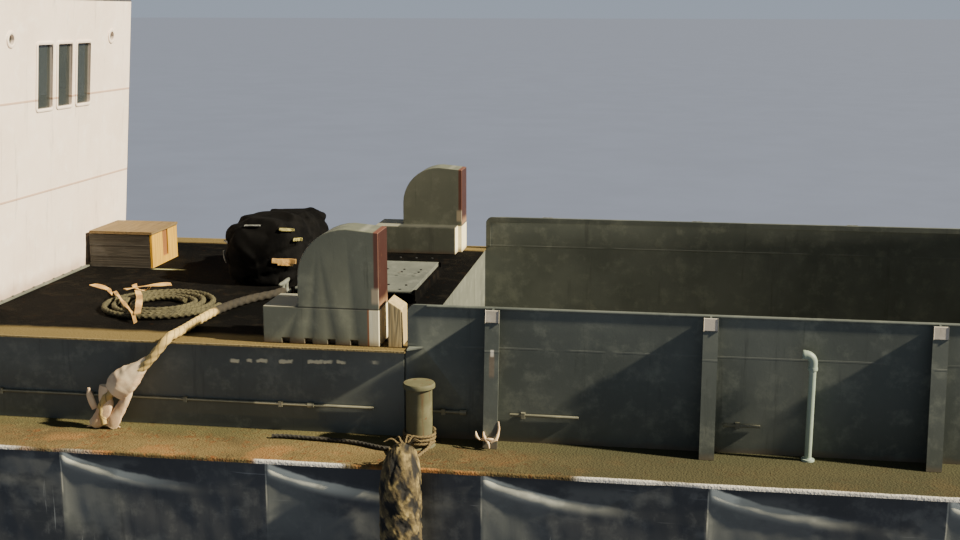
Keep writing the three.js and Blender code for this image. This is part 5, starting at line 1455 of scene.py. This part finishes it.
def makeMast(s):
    x, z0, top, r = s["x"], s["foot"], s["top"], s["radius"]
    pole = lathe([(0.03, 0), (0.09, 0), (0.09, 0.011), (0.086, 0.014), (0.046, 0.016), (0.036, 0.03),
                  (r, 0.05), (r * 0.92, top - z0 - 0.02), (r * 0.8, top - z0 + 0.01),
                  (0.01, top - z0 + 0.012)], (x, 0, z0), sides=32)
    yard = lathe([(0.006, -s["yard"]), (0.014, -s["yard"] + 0.004), (0.016, -s["yard"] + 0.03),
                  (0.020, -0.12), (0.020, 0.12), (0.016, s["yard"] - 0.03), (0.014, s["yard"] - 0.004),
                  (0.006, s["yard"])],
                 (x, 0, s["yardZ"]), "y", 20)
    sleeve = lathe([(r * 0.9, -0.05), (0.042, -0.048), (0.042, 0.048), (r * 0.9, 0.05)], (x, 0, s["yardZ"]))
    shells = [pole, yard, sleeve]
    for y in (-s["yard"] + 0.05, s["yard"] - 0.05):
        turn = np.linspace(0, 2 * np.pi, 22)
        eye = np.stack([x + 0 * turn, y + 0.012 * np.cos(turn),
                        s["yardZ"] - 0.028 + 0.012 * np.sin(turn)], -1)
        shells.append(rod(eye, 0.003, 8))
        shells.append(lathe([(0.016, -0.01), (0.022, -0.008), (0.022, 0.008), (0.016, 0.01)],
                            (x, y, s["yardZ"]), "y", 16))
    shells.append(lathe([(0.02, 0), (0.058, 0.002), (0.060, 0.012), (0.060, 0.030), (0.048, 0.036),
                         (0.02, 0.038)],
                        (x, 0, top - 0.004)))
    shells.append(lathe([(0.02, 0.100), (0.050, 0.102), (0.074, 0.112), (0.074, 0.122), (0.058, 0.134),
                         (0.03, 0.147), (0.008, 0.149)], (x, 0, top)))
    for turn in np.arange(4) * np.pi / 2 + 0.4:
        cx, cy = x + 0.050 * np.cos(turn), 0.050 * np.sin(turn)
        shells.append(rod([(cx, cy, top + 0.03), (cx, cy, top + 0.106)], 0.0035, 8))
    shells += boltHeads([(x + 0.07 * np.cos(a), 0.07 * np.sin(a), z0 + 0.013)
                         for a in np.arange(6) * np.pi / 3])
    piece("mast_turned", shells, greyPaint, replaces=["mast"])
    lens = lathe([(0.012, 0.030), (0.040, 0.032), (0.044, 0.045), (0.044, 0.092), (0.040, 0.104),
                  (0.012, 0.106)],
                 (x, 0, top))
    piece("mast_lamp_lens", [lens], clearLamp)


def makeSearchlight(s):
    x, z0, z, r = s["x"], s["foot"], s["z"], s["radius"]
    aft, fore = s["aft"] - x, s["fore"] - x
    drum = lathe([(0.02, aft), (0.055, aft + 0.006), (0.095, aft + 0.03), (0.118, aft + 0.07),
                  (0.122, fore - 0.03), (r, fore - 0.028), (r, fore - 0.004), (r - 0.005, fore),
                  (r - 0.016, fore), (r - 0.018, fore - 0.012), (0.02, fore - 0.013)], (x, 0, z), "x", 40)
    shells = [drum]
    for k in range(3):
        shells.append(lathe([(0.119, -0.003), (0.1255, -0.002), (0.1255, 0.002), (0.119, 0.003)],
                            (x - 0.02 + 0.022 * k, 0, z), "x", 40))
    turn = np.linspace(np.pi, 2 * np.pi, 26)
    sweep = np.stack([x + 0 * turn, 0.142 * np.cos(turn), z + 0.142 * np.sin(turn)], -1)
    shells.append(rod(sweep, 0.009, 10))
    for y in (-0.142, 0.142):
        shells.append(lathe([(0.004, -0.014), (0.016, -0.012), (0.016, 0.012), (0.004, 0.014)], (x, y, z),
                            "y", 18))
    shells.append(lathe([(0.02, 0), (0.080, 0), (0.080, 0.009), (0.076, 0.012), (0.034, 0.014),
                         (0.026, 0.022), (0.022, 0.03), (0.022, 0.088), (0.030, 0.092), (0.030, 0.104),
                         (0.02, 0.106)], (x, 0, z0)))
    grip = [(aft + x + 0.004, -0.03, z + 0.02), (aft + x - 0.02, -0.03, z + 0.02),
            (aft + x - 0.02, 0.03, z + 0.02), (aft + x + 0.004, 0.03, z + 0.02)]
    shells.append(rod(throughPoints(grip, 0.005), 0.006, 10))
    shells += boltHeads([(x + 0.062 * np.cos(a), 0.062 * np.sin(a), z0 + 0.012)
                         for a in np.arange(4) * np.pi / 2 + 0.78])
    piece("searchlight_drum", shells, greyPaint, replaces=["searchlight"])
    lens = lathe([(0.01, fore + 0.001), (0.06, fore - 0.002), (0.100, fore - 0.007),
                  (r - 0.019, fore - 0.011), (r - 0.019, fore - 0.016), (0.01, fore - 0.016)][::-1],
                 (x, 0, z), "x", 40)
    piece("searchlight_lens", [lens], clearLamp)


makeMast(mast)
makeSearchlight(searchlight)

# Steering wheel: round rim, three spokes right across and a turned hub
helm = {"x": -6.65, "z": 2.9, "radius": 0.25, "rim": 0.0165, "spoke": 0.011, "end": -6.561}


def makeHelm(s):
    x, z, r = s["x"], s["z"], s["radius"]
    turn = np.linspace(0, 2 * np.pi, 96, endpoint=False)
    small = np.linspace(0, 2 * np.pi, 14, endpoint=False)
    out = r + s["rim"] * np.cos(small)[None] * (1 + 0 * turn[:, None])
    grid = np.stack([x + s["rim"] * np.sin(small)[None] + 0 * out, out * np.cos(turn)[:, None],
                     z + out * np.sin(turn)[:, None]], -1)
    shells = [hoopShell(grid)]
    for a in np.radians([0, 60, 120]):
        dy, dz = (r - 0.006) * np.cos(a), (r - 0.006) * np.sin(a)
        path = np.linspace((x, -dy, z - dz), (x, dy, z + dz), 17)
        wide = 1 + 0.25 * np.abs(np.linspace(-1, 1, 17)) ** 2
        shells.append(rod(path, s["spoke"] * wide * 0.9, 12))
    shells.append(lathe([(0.010, -0.020), (0.040, -0.018), (0.045, -0.010), (0.045, 0.020),
                         (0.034, 0.030), (0.030, 0.05), (0.030, s["end"] - x - 0.001)], (x, 0, z), "x",
                        32))
    piece("helm_wheel", shells, wheelPaint, replaces=["steering_wheel"])


makeHelm(helm)

# Horned cleat that holds the hawser
cleat = {"x": -4.35, "y": -0.33, "z": engineDeckZ + 0.0005, "half": 0.12, "horn": 0.017}


def makeCleat(s):
    x, y, z = s["x"], s["y"], s["z"]
    t = np.linspace(-1, 1, 41)
    horn = np.stack([x + 0 * t, y + s["half"] * 0.985 * t, z + 0.078 + 0.010 * t**2], -1)
    shells = [rod(horn, s["horn"] * np.sqrt(np.clip(1.02 - np.abs(t) ** 3.2, 0.08, 1)), 18)]
    for off in (-0.042, 0.042):
        shells.append(lathe([(0.030, 0.0), (0.029, 0.010), (0.019, 0.022), (0.016, 0.045), (0.018, 0.07),
                             (0.012, 0.085)],
                            (x, y + off, z), sides=24))
    loop, out = roundedLoop(0.0345, 0.1, 0.02)
    rings = []
    for inset, high in ((0, 0), (0, 0.008), (0.004, 0.012)):
        rings.append(np.column_stack([loop - out * inset + (x, y), np.full(len(loop), z + high)]))
    shells.append(ringShell(np.stack(rings)))
    shells += boltHeads([(x + dx, y + dy, z + 0.011) for dx in (-0.021, 0.021) for dy in (-0.075, 0.075)],
                        radius=0.008)
    piece("cleat_cast", shells, greyPaint, replaces=["cleat"])


makeCleat(cleat)

# Propellers with four twisted blades on a turned hub; the shaft runs forward into the skeg
screw = {"x": -6.95, "y": 0.95, "z": 0.46, "root": 0.060, "tip": 0.394, "chord": 0.235, "pitch": 0.62,
         "thick": 0.016, "shaft": 0.034, "fore": -6.606}


def makeScrew(name, side, s):
    u = np.linspace(0, 1, 30)[:, None]
    v = np.linspace(-1, 1, 22)[None]
    r = s["root"] + (s["tip"] - s["root"]) * u
    wide = s["chord"] / 2 * np.sqrt(np.clip(1 - np.abs(2 * u - 1.08) ** 2.6, 0.002, 1)) * (0.66 + 0.34 * u)
    climb = np.arctan(s["pitch"] / (2 * np.pi * r))
    half = s["thick"] / 2 * (1 - 0.75 * u) * np.sqrt(np.clip(1.02 - v**2, 0.02, 1))
    shells = []
    for k in range(4):
        grids = []
        for face in (1, -1):
            swing = v * wide * np.cos(climb) / r + face * half * np.sin(climb) / r + k * np.pi / 2
            x = s["x"] + side * (-1) * (v * wide * np.sin(climb)) + side * face * half * np.cos(climb)
            grids.append(np.stack([x, side * s["y"] + r * np.sin(swing), s["z"] + r * np.cos(swing)], -1))
        shells.append(slabShell(*grids))
    shells.append(lathe([(0.006, -0.139), (0.026, -0.134), (0.042, -0.115), (0.046, -0.092),
                         (0.066, -0.088), (0.074, -0.06), (0.078, 0.0), (0.076, 0.06), (0.070, 0.079),
                         (s["shaft"], 0.080), (s["shaft"], s["fore"] - s["x"])],
                        (s["x"], side * s["y"], s["z"]), "x", 36))
    piece("propeller_cast_" + name, shells, bronzeMetal, body="propeller_" + name,
          replaces=["propeller_" + name], sharp=50)


for name, side in sides.items():
    makeScrew(name, side, screw)
print("mast, lamps, wheel and propellers")

# Hull fittings all round: sheaves, exhaust rings, ventilator cowls, floor bars and bolts
around = {"sheave": (8.055, 3.0, 0.130), "cowl": (-6.65, 1.46), "exhaust": (1.25, 1.15), "floorPitch": 0.42}


def makeSheaves(name, side, s):
    x, z, r = s["sheave"]
    shells = []
    for low, high in ((1.632, 1.642), (1.748, 1.758)):
        y0, y1 = sorted((side * low, side * high))
        shells.append(lathe([(0.10, y0), (r - 0.003, y0), (r, y0 + 0.003), (r, y1 - 0.003),
                             (r - 0.003, y1), (0.10, y1)],
                            (x, 0, z), "y", 40))
    y0, y1 = sorted((side * 1.755, side * 1.782))
    shoulder = y1 - 0.004 if side > 0 else y1
    shells.append(lathe([(0.01, y0), (0.045, y0), (0.045, shoulder), (0.01, y1)], (x, 0, z), "y", 24))
    shells += boltHeads([(x + 0.07 * np.cos(a), side * 1.757, z + 0.07 * np.sin(a))
                         for a in np.arange(6) * np.pi / 3],
                        "y", side, 0.009, 0.007)
    piece("bow_sheave_" + name, shells, ironMetal)
    cx, cy = s["cowl"]
    profile = [(0.084, 0.0), (0.120, 0.001), (0.120, 0.010), (0.086, 0.012), (0.083, 0.022),
               (0.083, 0.172), (0.152, 0.166), (0.156, 0.172), (0.154, 0.196), (0.140, 0.232),
               (0.100, 0.262), (0.05, 0.271), (0.01, 0.272)]
    shells = [lathe(profile, (cx, side * cy, engineDeckZ), sides=36)]
    shells += boltHeads([(cx + 0.104 * np.cos(a), side * cy + 0.104 * np.sin(a), engineDeckZ + 0.010)
                         for a in np.arange(6) * np.pi / 3], radius=0.008)
    piece("ventilator_cowl_" + name, shells, greyPaint)
    ey, ez = s["exhaust"]
    ring = [(0.060, 0.004), (0.060, -0.014), (0.064, -0.018), (0.092, -0.018), (0.096, -0.012),
            (0.096, 0.004)]
    loop = np.array(ring)
    turn = np.linspace(0, 2 * np.pi, 36, endpoint=False)[:, None]
    grid = np.stack([-8.55 + loop[None, :, 1] + 0 * turn, side * ey + loop[None, :, 0] * np.cos(turn),
                     ez + loop[None, :, 0] * np.sin(turn)], -1)
    shells = [hoopShell(grid)]
    shells += boltHeads([(-8.567, side * ey + 0.078 * np.cos(a), ez + 0.078 * np.sin(a))
                         for a in np.arange(6) * np.pi / 3],
                        "x", -1, 0.008)
    piece("exhaust_ring_" + name, shells, ironMetal)


def makeFloorBars(s):
    shells = []
    for x in np.arange(-2.7, 4.15, s["floorPitch"]):
        shells.append(block((x - 0.012, x + 0.012), (-1.46, 1.46), (0.757, 0.769)))
    piece("well_floor_bars", shells, deckPaint, bevel=0.002)


def hatchBolts():
    for name, side in sides.items():
        spots = [(x, side * y, 2.216) for x in np.linspace(-4.17, -3.43, 7) for y in (0.045, 0.487)]
        piece("engine_hatch_studs_" + name, boltHeads(spots, radius=0.009, high=0.006), ironMetal,
              body="engine_hatch_lid_" + name)
    spots = [(x, y, 1.626) for x in np.linspace(-8.33, -7.82, 5) for y in (-0.265, 0.265)]
    piece("stern_hatch_studs", boltHeads(spots, radius=0.009, high=0.006), ironMetal,
          body="stern_hatch_lid")


for name, side in sides.items():
    makeSheaves(name, side, around)
makeFloorBars(around)
hatchBolts()
print("fittings all round")


# Canvas cover folded on the engine deck: a boxy soft heap of layers, swelled by cloth simulation
canvas = {"x": (-4.945, -4.305), "y": (-0.135, 0.995), "high": 0.500, "voxel": 0.014, "frames": 18,
          "cap": 0.022, "grow": -0.05, "pressure": 3.0}


# Cross sections are squared circles; pleats run over the top and the ends tuck in
def heapShell(s):
    (x0, x1), (y0, y1) = s["x"], s["y"]
    along = np.linspace(0, 1, 120)[:, None]
    turn = np.linspace(0, 2 * np.pi, 140, endpoint=False)[None]
    cross = np.sign(np.cos(turn)) * np.abs(np.cos(turn)) ** 0.42
    up = np.sign(np.sin(turn)) * np.abs(np.sin(turn)) ** 0.48
    ends = (1 - np.abs(2 * along - 1) ** 9) ** 0.5
    folds = waves(61, along * 1.1, turn * 0.16, (0.62, 0.27, 0.12))
    pleat = np.abs(np.sin(along * 13 + 2.2 * np.sin(turn * 2) + 1.3 * folds)) ** 0.6
    layer = np.abs(np.sin(2.9 * np.pi * (0.5 + 0.5 * up) + 0.9 * folds + 2 * along)) ** 0.45
    half, middle = (x1 - x0) / 2 - 0.020, (x0 + x1) / 2
    wide = half * (0.86 - 0.05 * pleat + 0.04 * folds + 0.11 * layer) * ends
    tall = (s["high"] - 0.020) / 2 * (0.93 - 0.06 * pleat + 0.07 * folds) * (0.5 + 0.5 * ends)
    z = engineDeckZ + 0.003 + np.maximum(tall * (1 + up), 0)
    tuck = 0.05 * (layer - 0.5) * np.abs(2 * along - 1) ** 6 * np.sign(2 * along - 1)
    y = y0 + 0.035 + along * (y1 - y0 - 0.07) + tuck
    grid = np.stack([middle + cross * wide, y + 0 * turn, z], -1)
    return ringShell(grid)


def evaluatedMesh(thing):
    view = bpy.context.evaluated_depsgraph_get()
    return bpy.data.meshes.new_from_object(thing.evaluated_get(view))


def meshPoints(mesh):
    flat = np.empty(len(mesh.vertices) * 3)
    mesh.vertices.foreach_get("co", flat)
    return flat.reshape(-1, 3)


# The shell remeshed and blown out as cloth larger than itself, so that it wrinkles within the cap
def swelled(shell, s):
    mesh = bpy.data.meshes.new("heapWork")
    mesh.from_pydata(shell[0].tolist(), [], shell[1])
    work = bpy.data.objects.new("heapWork", mesh)
    bpy.context.scene.collection.objects.link(work)
    remesh = work.modifiers.new("even", "REMESH")
    remesh.mode = "VOXEL"
    remesh.voxel_size = s["voxel"]
    even = evaluatedMesh(work)
    work.modifiers.clear()
    work.data = even
    before = meshPoints(even)
    after = before
    cloth = work.modifiers.new("cloth", "CLOTH")
    cloth.settings.quality = 4
    cloth.settings.mass = 0.3
    cloth.settings.shrink_min = s["grow"]
    cloth.settings.bending_stiffness = 0.4
    cloth.settings.use_pressure = True
    cloth.settings.uniform_pressure_force = s["pressure"]
    cloth.settings.effector_weights.gravity = 0
    cloth.point_cache.frame_end = s["frames"]
    for frameNumber in range(1, s["frames"] + 1):
        bpy.context.scene.frame_set(frameNumber)
    after = meshPoints(evaluatedMesh(work))
    bpy.context.scene.frame_set(1)
    move = after - before
    far = np.maximum(np.linalg.norm(move, axis=1), 1e-9)[:, None]
    points = before + move * np.minimum(1, s["cap"] / far)
    points[:, 2] = np.maximum(points[:, 2], engineDeckZ + 0.001)
    faces = [tuple(p.vertices) for p in even.polygons]
    bpy.data.objects.remove(work)
    return outward(points, faces)


# Webbing ends that lie on the heap's near end: each strip follows the outermost points of the heap around it
webbing = {
    "tan": [{"from": (-4.50, 2.285), "to": (-4.335, 2.275), "wide": 0.034},
            {"from": (-4.46, 2.262), "to": (-4.36, 2.250), "wide": 0.02}],
    "olive": [{"from": (-4.46, 2.508), "to": (-4.36, 2.498), "wide": 0.016},
              {"from": (-4.36, 2.43), "to": (-4.315, 2.42), "wide": 0.022}],
    "grey": [{"from": (-4.73, 2.525), "to": (-4.61, 2.528), "wide": 0.008},
             {"from": (-4.90, 2.405), "to": (-4.855, 2.395), "wide": 0.012},
             {"from": (-4.90, 2.33), "to": (-4.885, 2.24), "wide": 0.018}],
}


def webbingStrip(points, strip):
    t = np.linspace(0, 1, 16)[:, None]
    start, end = np.array(strip["from"]), np.array(strip["to"])
    middle = start + (end - start) * t
    way = (end - start) / np.linalg.norm(end - start)
    across = np.array([-way[1], way[0]])
    v = np.linspace(-0.5, 0.5, 6)
    spots = middle[:, None] + across * v[None, :, None] * strip["wide"]
    reach = np.linalg.norm(points[None, :, [0, 2]] - spots.reshape(-1, 1, 2), axis=2)
    y = np.where(reach < 0.022, points[None, :, 1], 9).min(axis=1).reshape(spots.shape[:2])
    y = np.minimum(y, np.median(y) + 0.02) - 0.002
    near = np.stack([spots[..., 0], y - 0.006, spots[..., 1]], -1)
    far = np.stack([spots[..., 0], y + 0.006, spots[..., 1]], -1)
    return slabShell(near, far)


def canvasHeap(s):
    shell = swelled(heapShell(s), s)
    heap = piece("canvas_heap", [shell], darkCanvas, replaces=["canvas_bundle"], sharp=80)
    smooth = heap.modifiers.new("smooth", "SUBSURF")
    smooth.levels = 1
    smooth.render_levels = 1
    for name, finish in {"tan": slingWeb, "olive": oliveWeb, "grey": greyWeb}.items():
        strips = [webbingStrip(shell[0], strip) for strip in webbing[name]]
        piece("heap_webbing_" + name, strips, finish, sharp=60)


canvasHeap(canvas)
print("canvas")
